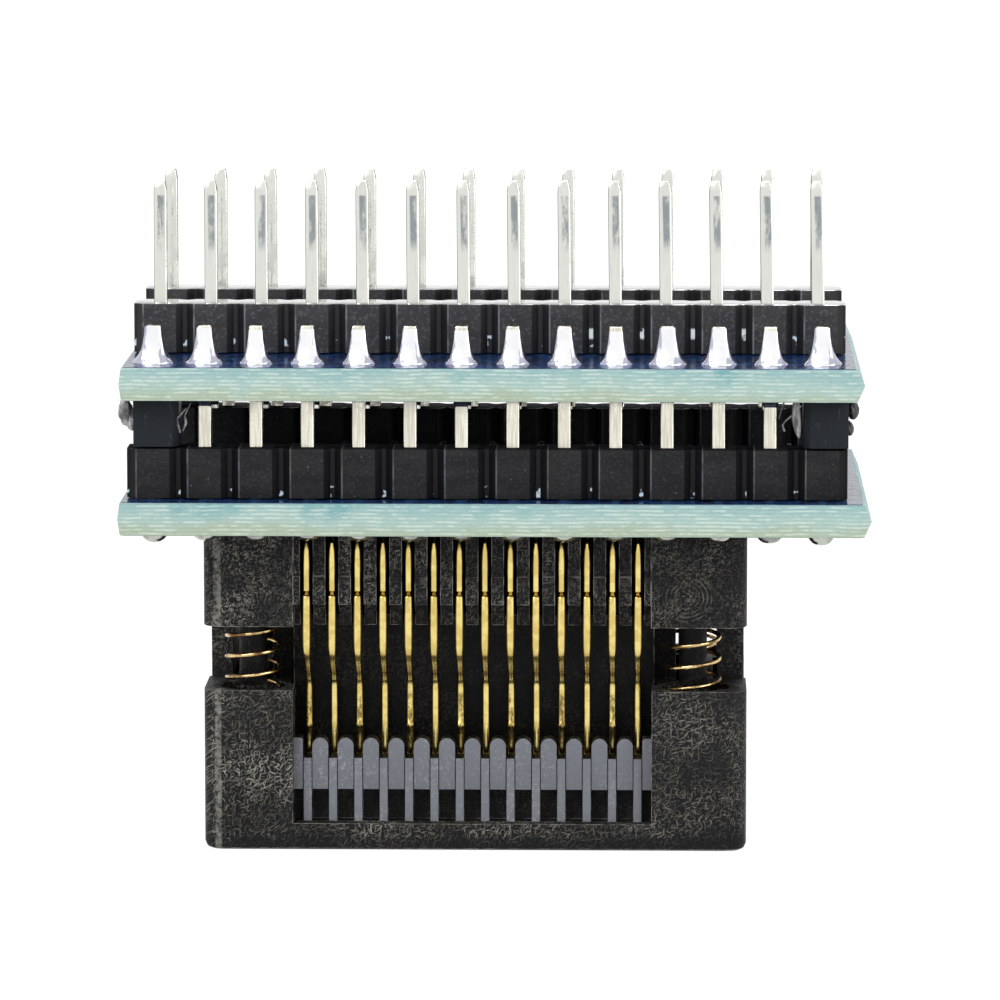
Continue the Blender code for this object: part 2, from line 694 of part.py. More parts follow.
def comb_tabs():
    """Return the pointed tabs that stand between the contacts, with a half tab at each end."""
    tabs = bmesh.new()
    half = TAB_WIDTH / 2
    gaps = row_positions(CONTACTS_PER_ROW - 1, CONTACT_PITCH)
    end_x = gaps[-1] + CONTACT_PITCH - half
    tab = [
        (-half, TAB_BOTTOM_Z),
        (half, TAB_BOTTOM_Z),
        (half, TAB_TOP_Z - TAB_POINT),
        (half - TAB_POINT, TAB_TOP_Z),
        (TAB_POINT - half, TAB_TOP_Z),
        (-half, TAB_TOP_Z - TAB_POINT),
    ]
    for sign in (-1, 1):
        ends = sorted((sign * (OPENING_HALF_Y + COMB_BACK / 2), sign * (COMB_FACE_Y - BITE / 4)))
        for x in gaps:
            add_prism(tabs, [(x + a, z) for a, z in tab], "y", *ends)
        for end in (-1, 1):
            span = sorted((end * end_x, end * (WINDOW_HALF_X + BITE)))
            add_box(tabs, span, ends, (TAB_BOTTOM_Z, TAB_TOP_Z))
    return tabs


def coil_shape(outer_angle):
    """Return one coil, whose wire passes outer_angle at the height COIL_OUTER_Z."""
    low = COVER_HEIGHT - COVER_BORE_DEPTH + WIRE_RADIUS + SEAT_GAP
    high = BASE_BOTTOM_Z + BASE_BORE_DEPTH - WIRE_RADIUS - SEAT_GAP
    steps = round((high - low) / COIL_PITCH * COIL_STEPS)
    coil = bmesh.new()
    rings = []
    for i in range(steps + 1):
        height = low + (high - low) * i / steps
        angle = outer_angle + 2 * math.pi * (height - COIL_OUTER_Z) / COIL_PITCH
        ring = []
        for k in range(WIRE_SIDES):
            around = 2 * math.pi * (k + 0.5) / WIRE_SIDES
            reach = SPRING_RADIUS + WIRE_RADIUS * math.cos(around)
            ring.append(coil.verts.new((reach * math.cos(angle), reach * math.sin(angle),
                                        height + WIRE_RADIUS * math.sin(around))))
        rings.append(ring)
    faces = [coil.faces.new(rings[0]), coil.faces.new(rings[-1])]
    for lower, upper in zip(rings, rings[1:]):
        for k in range(WIRE_SIDES):
            n = (k + 1) % WIRE_SIDES
            faces.append(coil.faces.new((lower[k], lower[n], upper[n], upper[k])))
    bmesh.ops.recalc_face_normals(coil, faces=faces)
    return coil


def make_springs():
    """Make the four coil springs between the base and the cover."""
    for side, a, outer_angle in (("left", -1, math.pi), ("right", 1, 0.0)):
        for end, b in (("front", -1), ("rear", 1)):
            make_object(f"spring_{end}_{side}", coil_shape(outer_angle), STEEL,
                        (SOCKET_X + a * SPRING_X, b * SPRING_Y, 0.0))


def main():
    """Build the adapter."""
    clear_scene()
    slide = bpy.data.objects.new("cover_slide_axis", None)
    slide.location = (SOCKET_X, 0.0, 0.0)
    bpy.context.scene.collection.objects.link(slide)
    make_headers()
    make_spacers()
    make_boards()
    make_contacts()
    make_base()
    make_cover(slide)
    make_springs()


main()
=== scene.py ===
"""Looks of a chip test adapter: two stacked boards on pin rows over a spring-loaded chip socket.

Lengths are in metres and +Z is up. X runs along the pin rows, and the photographed long side
faces -Y. Every piece sits at the origin with its place in its mesh.
"""

import logging
import math
from dataclasses import dataclass, field
from enum import Enum
from functools import cache, reduce
from typing import Callable, Iterable, Sequence

import bmesh
import bpy
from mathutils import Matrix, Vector


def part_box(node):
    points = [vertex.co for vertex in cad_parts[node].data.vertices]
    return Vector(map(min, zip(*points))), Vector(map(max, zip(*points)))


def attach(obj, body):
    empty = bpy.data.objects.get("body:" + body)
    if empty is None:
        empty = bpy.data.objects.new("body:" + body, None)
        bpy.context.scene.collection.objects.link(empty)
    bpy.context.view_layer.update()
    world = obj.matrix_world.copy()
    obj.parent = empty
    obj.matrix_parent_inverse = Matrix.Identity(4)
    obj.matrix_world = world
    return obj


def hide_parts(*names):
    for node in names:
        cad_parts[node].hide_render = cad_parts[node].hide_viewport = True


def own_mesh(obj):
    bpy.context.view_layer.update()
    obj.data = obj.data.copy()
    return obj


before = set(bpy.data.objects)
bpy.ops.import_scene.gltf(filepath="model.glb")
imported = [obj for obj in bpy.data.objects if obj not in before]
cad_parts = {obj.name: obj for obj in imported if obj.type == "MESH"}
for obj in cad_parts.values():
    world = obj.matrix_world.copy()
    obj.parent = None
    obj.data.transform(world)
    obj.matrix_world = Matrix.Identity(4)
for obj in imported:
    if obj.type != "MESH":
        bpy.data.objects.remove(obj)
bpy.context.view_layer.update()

LOG = logging.getLogger("adapter")
ADAPTER = "adapter"
COVER = "cover"
MM = 0.001
WELD = 1e-6
CLEARANCE = 0.1 * MM
LACQUER = 0.03 * MM

Pair = tuple[float, float]
Triple = tuple[float, float, float]
Piece = bpy.types.Object
Material = bpy.types.Material
Tree = bpy.types.NodeTree
Node = bpy.types.Node
Socket = bpy.types.NodeSocket
Value = Socket | float


def srgb(red: int, green: int, blue: int) -> Triple:
    """Return the linear colour of an 8-bit colour as seen on a screen."""
    parts = [value / 255 for value in (red, green, blue)]
    return tuple(p / 12.92 if p <= 0.04045 else ((p + 0.055) / 1.055) ** 2.4 for p in parts)


def between(value: float, limits: Pair) -> bool:
    """Say whether a value lies between two limits."""
    return limits[0] < value < limits[1]


class Side(Enum):
    """The two long sides of the adapter, valued by their direction along Y."""

    FRONT = -1
    REAR = 1

    @property
    def word(self) -> str:
        """The side's name as the parts carry it."""
        return self.name.lower()


class Pick(Enum):
    """What an edit-mode selection takes."""

    VERTS = "VERT"
    EDGES = "EDGE"
    FACES = "FACE"


@dataclass(frozen=True)
class Layout:
    """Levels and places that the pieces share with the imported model, in metres."""

    pitch: float = 2.54 * MM
    contact_pitch: float = 1.27 * MM
    pins: int = 14
    rows_x: float = -0.39 * MM
    socket_x: float = -1.18 * MM
    pin_width: float = 0.64 * MM
    long_row_y: float = 3.81 * MM
    link_row_y: float = 8.89 * MM
    lower_bottom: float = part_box("lower_board")[0].z
    lower_top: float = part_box("lower_board")[1].z
    upper_bottom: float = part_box("upper_board")[0].z
    upper_top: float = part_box("upper_board")[1].z

    def columns(self, middle: float, pitch: float) -> list[float]:
        """Return the X places of one row's pins or contacts, left to right."""
        return [middle + (i - (self.pins - 1) / 2) * pitch for i in range(self.pins)]


LAYOUT = Layout()
PIN_COLUMNS = LAYOUT.columns(LAYOUT.rows_x, LAYOUT.pitch)
CONTACT_COLUMNS = LAYOUT.columns(LAYOUT.socket_x, LAYOUT.contact_pitch)


# Shaping


def along(edge: bmesh.types.BMEdge, axis: int) -> float:
    """Return the share of an edge's length that runs along an axis."""
    return abs((edge.verts[0].co - edge.verts[1].co).normalized()[axis])


def rename(obj: Piece, name: str) -> None:
    """Name a piece and its mesh."""
    obj.name = name
    obj.data.name = name


def add_object(name: str, data: bpy.types.ID) -> Piece:
    """Put a mesh, lamp or camera into the scene as a new object."""
    obj = bpy.data.objects.new(name, data)
    bpy.context.scene.collection.objects.link(obj)
    return obj


class Bench:
    """One mesh that starts as a primitive and is shaped with edit-mode operators."""

    def __init__(self, obj: Piece) -> None:
        """Take an object onto the bench."""
        self.obj = obj

    @staticmethod
    def clear() -> None:
        """Leave edit mode and deselect everything."""
        if bpy.context.mode != "OBJECT":
            bpy.ops.object.mode_set(mode="OBJECT")
        bpy.ops.object.select_all(action="DESELECT")

    @classmethod
    def take(cls, obj: Piece, edit: bool = False) -> "Bench":
        """Put an existing object on the bench, selected and active.

        Args:
            obj: The object.
            edit: Whether edit mode is entered.

        Returns:
            The bench.
        """
        cls.clear()
        obj.select_set(True)
        bpy.context.view_layer.objects.active = obj
        if edit:
            bpy.ops.object.mode_set(mode="EDIT")
        return cls(obj)

    @classmethod
    def settle(cls, name: str) -> "Bench":
        """Name the primitive that was just added, and put its place into its mesh.

        Args:
            name: The piece's name.

        Returns:
            The bench with the piece in edit mode.
        """
        obj = bpy.context.active_object
        rename(obj, name)
        bpy.ops.object.transform_apply()
        bpy.ops.object.mode_set(mode="EDIT")
        return cls(obj)

    @classmethod
    def block(cls, name: str, low: Sequence[float], high: Sequence[float]) -> "Bench":
        """Start from a cube scaled to a box.

        Args:
            name: The piece's name.
            low: The box's lowest corner.
            high: The box's highest corner.

        Returns:
            The bench in edit mode.
        """
        cls.clear()
        middle = [(a + b) / 2 for a, b in zip(low, high)]
        size = [b - a for a, b in zip(low, high)]
        bpy.ops.mesh.primitive_cube_add(size=1.0, location=middle, scale=size)
        return cls.settle(name)

    @classmethod
    def disc(cls, name: str, centre: Triple, radius: float, sides: int) -> "Bench":
        """Start from a filled circle that faces up.

        Args:
            name: The piece's name.
            centre: The circle's middle.
            radius: The circle's radius.
            sides: How many sides the circle has.

        Returns:
            The bench in edit mode, with the disc selected.
        """
        cls.clear()
        bpy.ops.mesh.primitive_circle_add(vertices=sides, radius=radius, fill_type="NGON",
                                          location=centre)
        return cls.settle(name)

    def pick(self, kind: Pick, test: Callable[[object], bool]) -> None:
        """Select the verts, edges or faces that pass a test, and nothing else.

        Args:
            kind: What is selected.
            test: Says whether an element is taken.
        """
        bpy.ops.mesh.select_all(action="DESELECT")
        bpy.ops.mesh.select_mode(type=kind.value)
        mesh = bmesh.from_edit_mesh(self.obj.data)
        taken = [item for item in getattr(mesh, kind.name.lower()) if test(item)]
        for item in taken:
            item.select_set(True)
        mesh.select_flush_mode()
        bmesh.update_edit_mesh(self.obj.data)

    def pick_end(self, way: int) -> None:
        """Select the faces that look up, for 1, or down, for -1."""
        self.pick(Pick.FACES, lambda face: face.normal.z * way > 0.9)

    def pick_upright_edges(self, test: Callable[[float], bool] = lambda x: True) -> None:
        """Select the edges along Z whose middle's X passes a test."""
        self.pick(Pick.EDGES, lambda e: along(e, 2) > 0.9
                  and test((e.verts[0].co.x + e.verts[1].co.x) / 2))

    def extrude(self, x: float = 0.0, y: float = 0.0, z: float = 0.0) -> None:
        """Extrude the selected faces by a step along the axes."""
        bpy.ops.mesh.extrude_region_move(TRANSFORM_OT_translate={"value": (x, y, z)})

    def resize(self, x: float, y: float, centre: Triple) -> None:
        """Scale the selection along X and Y about a point."""
        bpy.ops.transform.resize(value=(x, y, 1.0), center_override=centre)

    def bevel(self, width: float, segments: int = 2) -> None:
        """Bevel the selected edges."""
        bpy.ops.mesh.bevel(offset=width, segments=segments, affect="EDGES", profile=0.5)

    def apply_modifier(self, kind: str, **settings: object) -> None:
        """Add a modifier, set it and apply it.

        Args:
            kind: The modifier's type.
            settings: Its properties.
        """
        self.take(self.obj)
        modifier = self.obj.modifiers.new(kind.lower(), kind)
        for key, value in settings.items():
            setattr(modifier, key, value)
        bpy.ops.object.modifier_apply(modifier=modifier.name)

    def done(self, smooth: float | None) -> Piece:
        """Turn the faces outward, shade the piece and take it off the bench.

        Args:
            smooth: The angle in degrees up to which edges look smooth, or None for flat faces.

        Returns:
            The finished piece.
        """
        self.take(self.obj, edit=True)
        bpy.ops.mesh.select_all(action="SELECT")
        bpy.ops.mesh.remove_doubles(threshold=WELD)
        bpy.ops.mesh.normals_make_consistent(inside=False)
        bpy.ops.object.mode_set(mode="OBJECT")
        if smooth is not None:
            bpy.ops.object.shade_smooth_by_angle(angle=math.radians(smooth))
        self.clear()
        return self.obj


def copy_piece(source: Piece, name: str, shift: Triple, factors: Triple = (1.0, 1.0, 1.0)) -> Piece:
    """Copy a modelled piece with its own mesh, and put the copy's place into that mesh.

    Args:
        source: The piece that was modelled once.
        name: The copy's name.
        shift: How far the copy moves.
        factors: How much the copy is scaled about the origin before it moves.

    Returns:
        The copy.
    """
    copy = source.copy()
    copy.data = source.data.copy()
    rename(copy, name)
    bpy.context.scene.collection.objects.link(copy)
    Bench.take(copy)
    copy.scale = factors
    copy.location = shift
    bpy.ops.object.transform_apply()
    if math.prod(factors) < 0:
        bpy.ops.object.mode_set(mode="EDIT")
        bpy.ops.mesh.select_all(action="SELECT")
        bpy.ops.mesh.normals_make_consistent(inside=False)
    Bench.clear()
    return copy


def discard(obj: Piece) -> None:
    """Remove a pattern piece once its copies are made."""
    bpy.data.objects.remove(obj, do_unlink=True)


def join_pieces(pieces: Sequence[Piece], name: str) -> Piece:
    """Join pieces of one finish into one.

    Args:
        pieces: The pieces, of which the first takes in the others.
        name: The joined piece's name.

    Returns:
        The joined piece.
    """
    Bench.clear()
    for piece in pieces:
        piece.select_set(True)
    bpy.context.view_layer.objects.active = pieces[0]
    bpy.ops.object.join()
    joined = bpy.context.active_object
    rename(joined, name)
    Bench.clear()
    return joined


def merged_copy(node: str, name: str) -> Bench:
    """Copy a CAD node and merge its loose triangles into whole faces.

    Args:
        node: The CAD node's name.
        name: The copy's name.

    Returns:
        The bench with the copy in edit mode, without a material.
    """
    copy = add_object(name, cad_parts[node].data.copy())
    copy.data.name = name
    copy.data.materials.clear()
    bench = Bench.take(copy, edit=True)
    bpy.ops.mesh.select_all(action="SELECT")
    bpy.ops.mesh.remove_doubles(threshold=WELD)
    bpy.ops.mesh.dissolve_limited(angle_limit=math.radians(1.0))
    return bench


# Finishes


class Graph:
    """A node tree with short ways to add and link nodes."""

    def __init__(self, tree: Tree, place: Socket | None = None) -> None:
        """Take a node tree and the place that its noises read."""
        self.tree = tree
        self.place = place

    def add(self, kind: str, inputs: dict[str | int, object] | None = None,
            **settings: object) -> Node:
        """Add a node, set its properties, and fill its inputs.

        Args:
            kind: The node's type, without ShaderNode before it.
            inputs: Values or output sockets by input name or number.
            settings: The node's properties.

        Returns:
            The node.
        """
        node = self.tree.nodes.new(f"ShaderNode{kind}")
        for key, value in settings.items():
            setattr(node, key, value)
        self.fill(node, inputs or {})
        return node

    def fill(self, node: Node, inputs: dict[str | int, object]) -> None:
        """Link inputs of a node to outputs, or set their values.

        Args:
            node: The node.
            inputs: Values or output sockets by input name or number.
        """
        for key, value in inputs.items():
            if isinstance(value, Socket):
                self.tree.links.new(value, node.inputs[key])
            else:
                node.inputs[key].default_value = value

    def math(self, operation: str, *values: Value) -> Socket:
        """Return the result of a Math node."""
        return self.add("Math", dict(enumerate(values)), operation=operation).outputs[0]

    def plus(self, a: Value, b: Value) -> Socket:
        """Return a + b."""
        return self.math("ADD", a, b)

    def minus(self, a: Value, b: Value) -> Socket:
        """Return a - b."""
        return self.math("SUBTRACT", a, b)

    def times(self, *values: Value) -> Socket:
        """Return the product of two or more values."""
        return reduce(lambda a, b: self.math("MULTIPLY", a, b), values)

    def most(self, a: Value, b: Value) -> Socket:
        """Return the larger of two values."""
        return self.math("MAXIMUM", a, b)

    def size(self, value: Socket) -> Socket:
        """Return a value without its sign."""
        return self.math("ABSOLUTE", value)

    def shift(self, operation: str, a: Socket, b: Socket | Triple) -> Socket:
        """Return two vectors added or subtracted."""
        return self.add("VectorMath", {0: a, 1: b}, operation=operation).outputs[0]

    def vector(self, x: Value, y: Value, z: Value = 0.0) -> Socket:
        """Return the vector of three parts."""
        return self.add("CombineXYZ", {0: x, 1: y, 2: z}).outputs[0]

    def split(self, vector: Socket) -> Sequence[Socket]:
        """Return the three parts of a vector."""
        return tuple(self.add("SeparateXYZ", {0: vector}).outputs)

    def noise(self, scale: Value, detail: float = 3.0, roughness: float = 0.55,
              squeeze: float = 1.0, at: Socket | None = None) -> Socket:
        """Return a noise value.

        Args:
            scale: Features to a metre.
            detail: Octaves.
            roughness: The strength of the finer octaves.
            squeeze: How much denser the features are along Z.
            at: The vector that is read, the place when left out.

        Returns:
            The value's socket.
        """
        vector = self.place if at is None else at
        if squeeze != 1.0:
            scales = (1.0, 1.0, squeeze)
            vector = self.add("Mapping", {"Vector": vector, "Scale": scales}).outputs[0]
        node = self.add("TexNoise", {"Vector": vector, "Scale": scale, "Detail": detail,
                                     "Roughness": roughness})
        return node.outputs["Fac"]

    def band(self, value: Socket, low: Value, high: Value, to_low: Value = 0.0,
             to_high: Value = 1.0) -> Socket:
        """Return value taken smoothly from low and high to to_low and to_high."""
        return self.add("MapRange", {"Value": value, "From Min": low, "From Max": high,
                                     "To Min": to_low, "To Max": to_high},
                        interpolation_type="SMOOTHSTEP").outputs["Result"]

    def window(self, value: Socket, low: float, high: float, soft: float) -> Socket:
        """Return 1 between two values and 0 outside them, over a soft border."""
        return self.times(self.band(value, low - soft, low + soft),
                          self.band(value, high + soft, high - soft))

    def mix(self, share: Value, a: Socket | Triple, b: Socket | Triple) -> Socket:
        """Return a mix of two colours, with the given share of the second."""
        ends = {i: c if isinstance(c, Socket) else (*c, 1.0) for i, c in ((6, a), (7, b))}
        return self.add("Mix", {0: share, **ends}, data_type="RGBA").outputs[2]

    def from_pin(self, x: Socket) -> Socket:
        """Return how far X is from the nearest pin's middle, less than 0 to its left."""
        half = LAYOUT.pitch / 2
        return self.math("WRAP", self.minus(x, LAYOUT.rows_x + half), half, -half)


class Group(Graph):
    """A shared node group with a Vector input, float inputs and float outputs."""

    def __init__(self, name: str, inputs: dict[str, float], *outputs: str) -> None:
        """Make the empty group.

        Args:
            name: The group's name.
            inputs: Float inputs with their defaults.
            outputs: Names of the float outputs.
        """
        tree = bpy.data.node_groups.new(name, "ShaderNodeTree")
        face = tree.interface
        face.new_socket("Vector", in_out="INPUT", socket_type="NodeSocketVector")
        for key, value in inputs.items():
            made = face.new_socket(key, in_out="INPUT", socket_type="NodeSocketFloat")
            made.default_value = value
        for key in outputs:
            face.new_socket(key, in_out="OUTPUT", socket_type="NodeSocketFloat")
        self.source = tree.nodes.new("NodeGroupInput")
        self.sink = tree.nodes.new("NodeGroupOutput")
        super().__init__(tree, self.source.outputs["Vector"])

    def close(self, **outputs: Socket) -> Tree:
        """Link the group's outputs and return its tree."""
        self.fill(self.sink, outputs)
        return self.tree


@cache
def fibre_group() -> Tree:
    """Make the group of short glass fibres that lie open in a moulded face.

    Returns:
        A group whose Fibres output is a mask and whose Grain output is a soft mottling.
    """
    g = Group("glass_fibres", {"Size": 3600.0, "Length": 4.0, "Share": 0.5}, "Fibres", "Grain")
    given = g.source.outputs
    x, y, z = g.split(g.place)
    lean = g.times(y, 0.7)
    flat = g.vector(g.plus(x, lean), g.plus(z, lean))
    total: Value = 0.0
    for shift, grow in ((0.0, 1.0), (0.0131, 1.5), (0.0293, 0.72)):
        moved = g.shift("ADD", flat, (shift, shift * 0.6, 0))
        size = g.times(given["Size"], grow)
        cell = g.add("TexVoronoi", {"Vector": moved, "Scale": size}, voronoi_dimensions="2D")
        place = g.shift("SUBTRACT", moved, cell.outputs["Position"])
        red, green, blue = g.split(cell.outputs["Color"])
        turned = g.add("VectorRotate", {"Vector": place, "Angle": g.plus(g.times(red, 2.6), -2.1)},
                       rotation_type="Z_AXIS").outputs[0]
        run, across, rest = g.split(turned)
        thin = g.vector(g.math("DIVIDE", run, given["Length"]), across, rest)
        reach = g.add("VectorMath", {0: thin}, operation="LENGTH").outputs["Value"]
        streak = g.band(g.times(reach, size), 0.13, 0.04)
        kept = g.math("LESS_THAN", green, given["Share"])
        total = g.most(total, g.times(streak, kept, g.band(blue, 0, 1, 0.3, 1.0)))
    return g.close(Fibres=total, Grain=g.noise(3600.0, 5.0, 0.7))


@cache
def weave_group() -> Tree:
    """Make the group of glass layers that show in a cut board edge.

    Returns:
        A group whose Streaks output is the bundles of glass and whose Layer output the plies.
    """
    g = Group("glass_layers", {"Plies": 5200.0}, "Streaks", "Layer")
    plies = g.source.outputs["Plies"]
    x, y, z = g.split(g.place)
    height = g.plus(z, g.times(g.noise(260.0, 2.0, squeeze=0.4), 0.0003))
    wave = g.math("SINE", g.times(height, plies, math.tau))
    ply = g.math("FLOOR", g.times(height, plies))
    bundles = g.noise(1150.0, 2.0, 0.5, at=g.vector(x, y, g.times(ply, 0.004)))
    threads = g.noise(3600.0, 3.0, 0.6, squeeze=7.0)
    lens = g.times(g.band(bundles, 0.44, 0.6), g.band(wave, -0.6, 0.7))
    streaks = g.plus(g.times(lens, 0.75), g.times(g.band(threads, 0.42, 0.66), 0.35))
    return g.close(Streaks=streaks, Layer=g.band(wave, -0.9, 0.9))


@cache
def wear_group() -> Tree:
    """Make the group of fine drawn lines and cloudy tarnish that show on metal.

    Returns:
        A group with a Lines output, drawn along Z, and a Cloud output.
    """
    g = Group("metal_wear", {"Fineness": 9000.0, "Cloudiness": 900.0}, "Lines", "Cloud")
    given = g.source.outputs
    lines = g.noise(given["Fineness"], 2.0, squeeze=0.06)
    cloud = g.noise(given["Cloudiness"], 4.0, 0.6)
    return g.close(Lines=g.band(lines, 0.35, 0.65), Cloud=g.band(cloud, 0.38, 0.62))


class Surface(Graph):
    """A material's nodes, with its shader and the place that it reads."""

    def __init__(self, material: Material) -> None:
        """Take a new material."""
        material.use_nodes = True
        super().__init__(material.node_tree)
        self.shader = self.tree.nodes["Principled BSDF"]
        self.place = self.add("TexCoord").outputs["Object"]
        self.x, self.y, self.z = self.split(self.place)

    def group(self, tree: Tree, **values: float) -> Sequence[Socket]:
        """Place a shared group at the surface's place.

        Args:
            tree: The group.
            values: Its inputs.

        Returns:
            Its outputs.
        """
        node = self.add("Group", node_tree=tree)
        self.fill(node, {"Vector": self.place, **values})
        return node.outputs

    def wire(self, colour: Socket, rough: Value, height: Socket, strength: float, relief: float,
             **others: float) -> None:
        """Wire colour, roughness and bump into the shader.

        Args:
            colour: The base colour.
            rough: The roughness.
            height: The bump's height, 0 to 1.
            strength: The bump's strength.
            relief: The bump's full size in metres.
            others: Further inputs, with _ for a space.
        """
        bump = self.add("Bump", {"Height": height, "Strength": strength, "Distance": relief})
        self.fill(self.shader, {
            "Base Color": colour, "Roughness": rough, "Normal": bump.outputs[0],
            **{key.replace("_", " "): value for key, value in others.items()}})


@dataclass(frozen=True)
class Finish:
    """A named finish. Its subclasses say how it looks."""

    name: str

    def build(self) -> Material:
        """Return the finish's material, made the first time that it is asked for."""
        title = f"{self.name}_finish"
        made = bpy.data.materials.get(title)
        if not made:
            made = bpy.data.materials.new(title)
            self.paint(Surface(made))
        return made

    def paint(self, s: Surface) -> None:
        """Wire the finish into a new material's shader."""
        raise NotImplementedError


@dataclass(frozen=True)
class FilledPlastic(Finish):
    """Black moulded plastic with short glass fibres, painted shade in its recesses, optional
    swirled places and an optional painted corner highlight.
    """

    base: Triple = srgb(15, 15, 16)
    light: Triple = srgb(152, 150, 142)
    # Colour of the painted shade on the recess walls.
    deep: Triple = srgb(6, 6, 7)
    # Colour of the painted corner highlight.
    pale: Triple = srgb(124, 124, 118)
    fibres: float = 0.6
    share: float = 0.5
    size: float = 3600.0
    length: float = 4.0
    mottle: float = 0.35
    roughness: float = 0.55
    specular: float = 0.14
    rubbed: Pair | None = None
    swirl: Triple | None = None
    more_x: float = -12.0 * MM
    less_x: float = 9.0 * MM
    smooth_z: Pair = (0.4 * MM, 1.0 * MM)
    window_half: Pair = (9.0 * MM, 8.9 * MM)
    window_y: Pair = (7.25 * MM, 7.1 * MM)
    window_z: Pair = (1.0 * MM, 1.2 * MM)
    bay_half: Pair = (12.3 * MM, 12.1 * MM)
    bay_z: Pair = (8.15 * MM, 11.24 * MM)
    corner_y: Pair = (-7.2 * MM, -7.4 * MM)
    face_y: Pair = (-7.6 * MM, -7.8 * MM)
    ring_pitch: float = 0.21 * MM

    def paint(self, s: Surface) -> None:
        """Wire fibres, mottling and a fine grain into the shader."""
        group = s.group(fibre_group(), Size=self.size, Length=self.length, Share=self.share)
        fibres = group["Fibres"]
        grain = group["Grain"]
        patch = s.band(s.noise(380.0), 0.4, 0.62, 0.25, 1.0)
        mottle = s.times(s.band(grain, 0.5, 0.72), patch, self.mottle)
        share = s.most(s.times(fibres, patch, self.fibres), mottle)
        if self.swirl:
            share = s.most(share, self.rings(s, self.swirl))
        # Painted shade: the recess walls behind the combs and round the springs are darkened
        # towards the deep colour and lose most of their fibres.
        recess_shade = self.recess_shade(s)
        side = s.band(s.x, self.more_x, self.less_x, 1.1, 0.65)
        smooth = s.band(s.z, *self.smooth_z, 0.25, 1.0)
        share = s.times(share, side, smooth, s.minus(1.0, s.times(recess_shade, 0.8)))
        colour = s.mix(share, s.mix(s.times(recess_shade, 0.7), self.base, self.deep), self.light)
        # Painted highlight: a pale strip down one front corner, where the rounded corner catches
        # the light.
        if self.rubbed:
            colour = s.mix(self.rub(s, grain, self.rubbed), colour, self.pale)
        rough = s.band(grain, 0.3, 0.7, self.roughness - 0.1, self.roughness + 0.1)
        s.wire(colour, rough, s.plus(grain, fibres), 0.25, 0.02 * MM,
               Specular_IOR_Level=self.specular)

    def recess_shade(self, s: Surface) -> Socket:
        """Mask the walls behind the combs and round the springs, where painted shade darkens the
        plastic and hides its fibres.

        Args:
            s: The material's nodes.

        Returns:
            The mask's socket.
        """
        aside = s.size(s.minus(s.x, LAYOUT.socket_x))
        window = s.times(s.band(aside, *self.window_half),
                         s.band(s.size(s.y), *self.window_y), s.band(s.z, *self.window_z))
        bay = s.times(s.window(s.z, *self.bay_z, 0.03 * MM), s.band(aside, *self.bay_half))
        return s.most(window, bay)

    def rub(self, s: Surface, grain: Socket, span: Pair) -> Socket:
        """Mask the upright strip of one front corner that is painted pale as a highlight.

        Args:
            s: The material's nodes.
            grain: The plastic's grain.
            span: Where the strip starts and ends along X.

        Returns:
            The mask's socket.
        """
        return s.times(s.window(s.x, *span, 0.05 * MM), s.band(s.y, *self.corner_y),
                       s.band(grain, 0.36, 0.62, 0.05, 0.9))

    def rings(self, s: Surface, swirl: Triple) -> Socket:
        """Mask the fine rings that an ejector leaves on the front face.

        Args:
            s: The material's nodes.
            swirl: The rings' middle along X, along Z, and their outer radius.

        Returns:
            The mask's socket.
        """
        x, z, radius = swirl
        a = s.minus(s.x, x)
        b = s.minus(s.z, z)
        reach = s.math("SQRT", s.plus(s.times(a, a), s.times(b, b)))
        turns = s.plus(s.times(reach, math.tau / self.ring_pitch), s.times(s.noise(900.0), 5))
        return s.times(s.band(s.math("SINE", turns), 0.35, 1.0),
                       s.band(s.noise(1700.0, 2.0), 0.42, 0.6),
                       s.band(reach, radius, radius * 0.75),
                       s.band(s.y, *self.face_y, 0.0, 0.5))


@dataclass(frozen=True)
class EdgeHighlight(Finish):
    """The thin pale line that black plastic shows along its corners, broken here and there: a
    painted highlight.
    """

    base: Triple = srgb(22, 22, 22)
    light: Triple = srgb(150, 148, 140)
    strength: float = 0.8

    def paint(self, s: Surface) -> None:
        """Wire the broken line into the shader."""
        breaks = s.band(s.noise(1500.0), 0.4, 0.62, 0.1, self.strength)
        s.wire(s.mix(breaks, self.base, self.light), 0.5, breaks, 0.2, 0.01 * MM,
               Specular_IOR_Level=0.2)


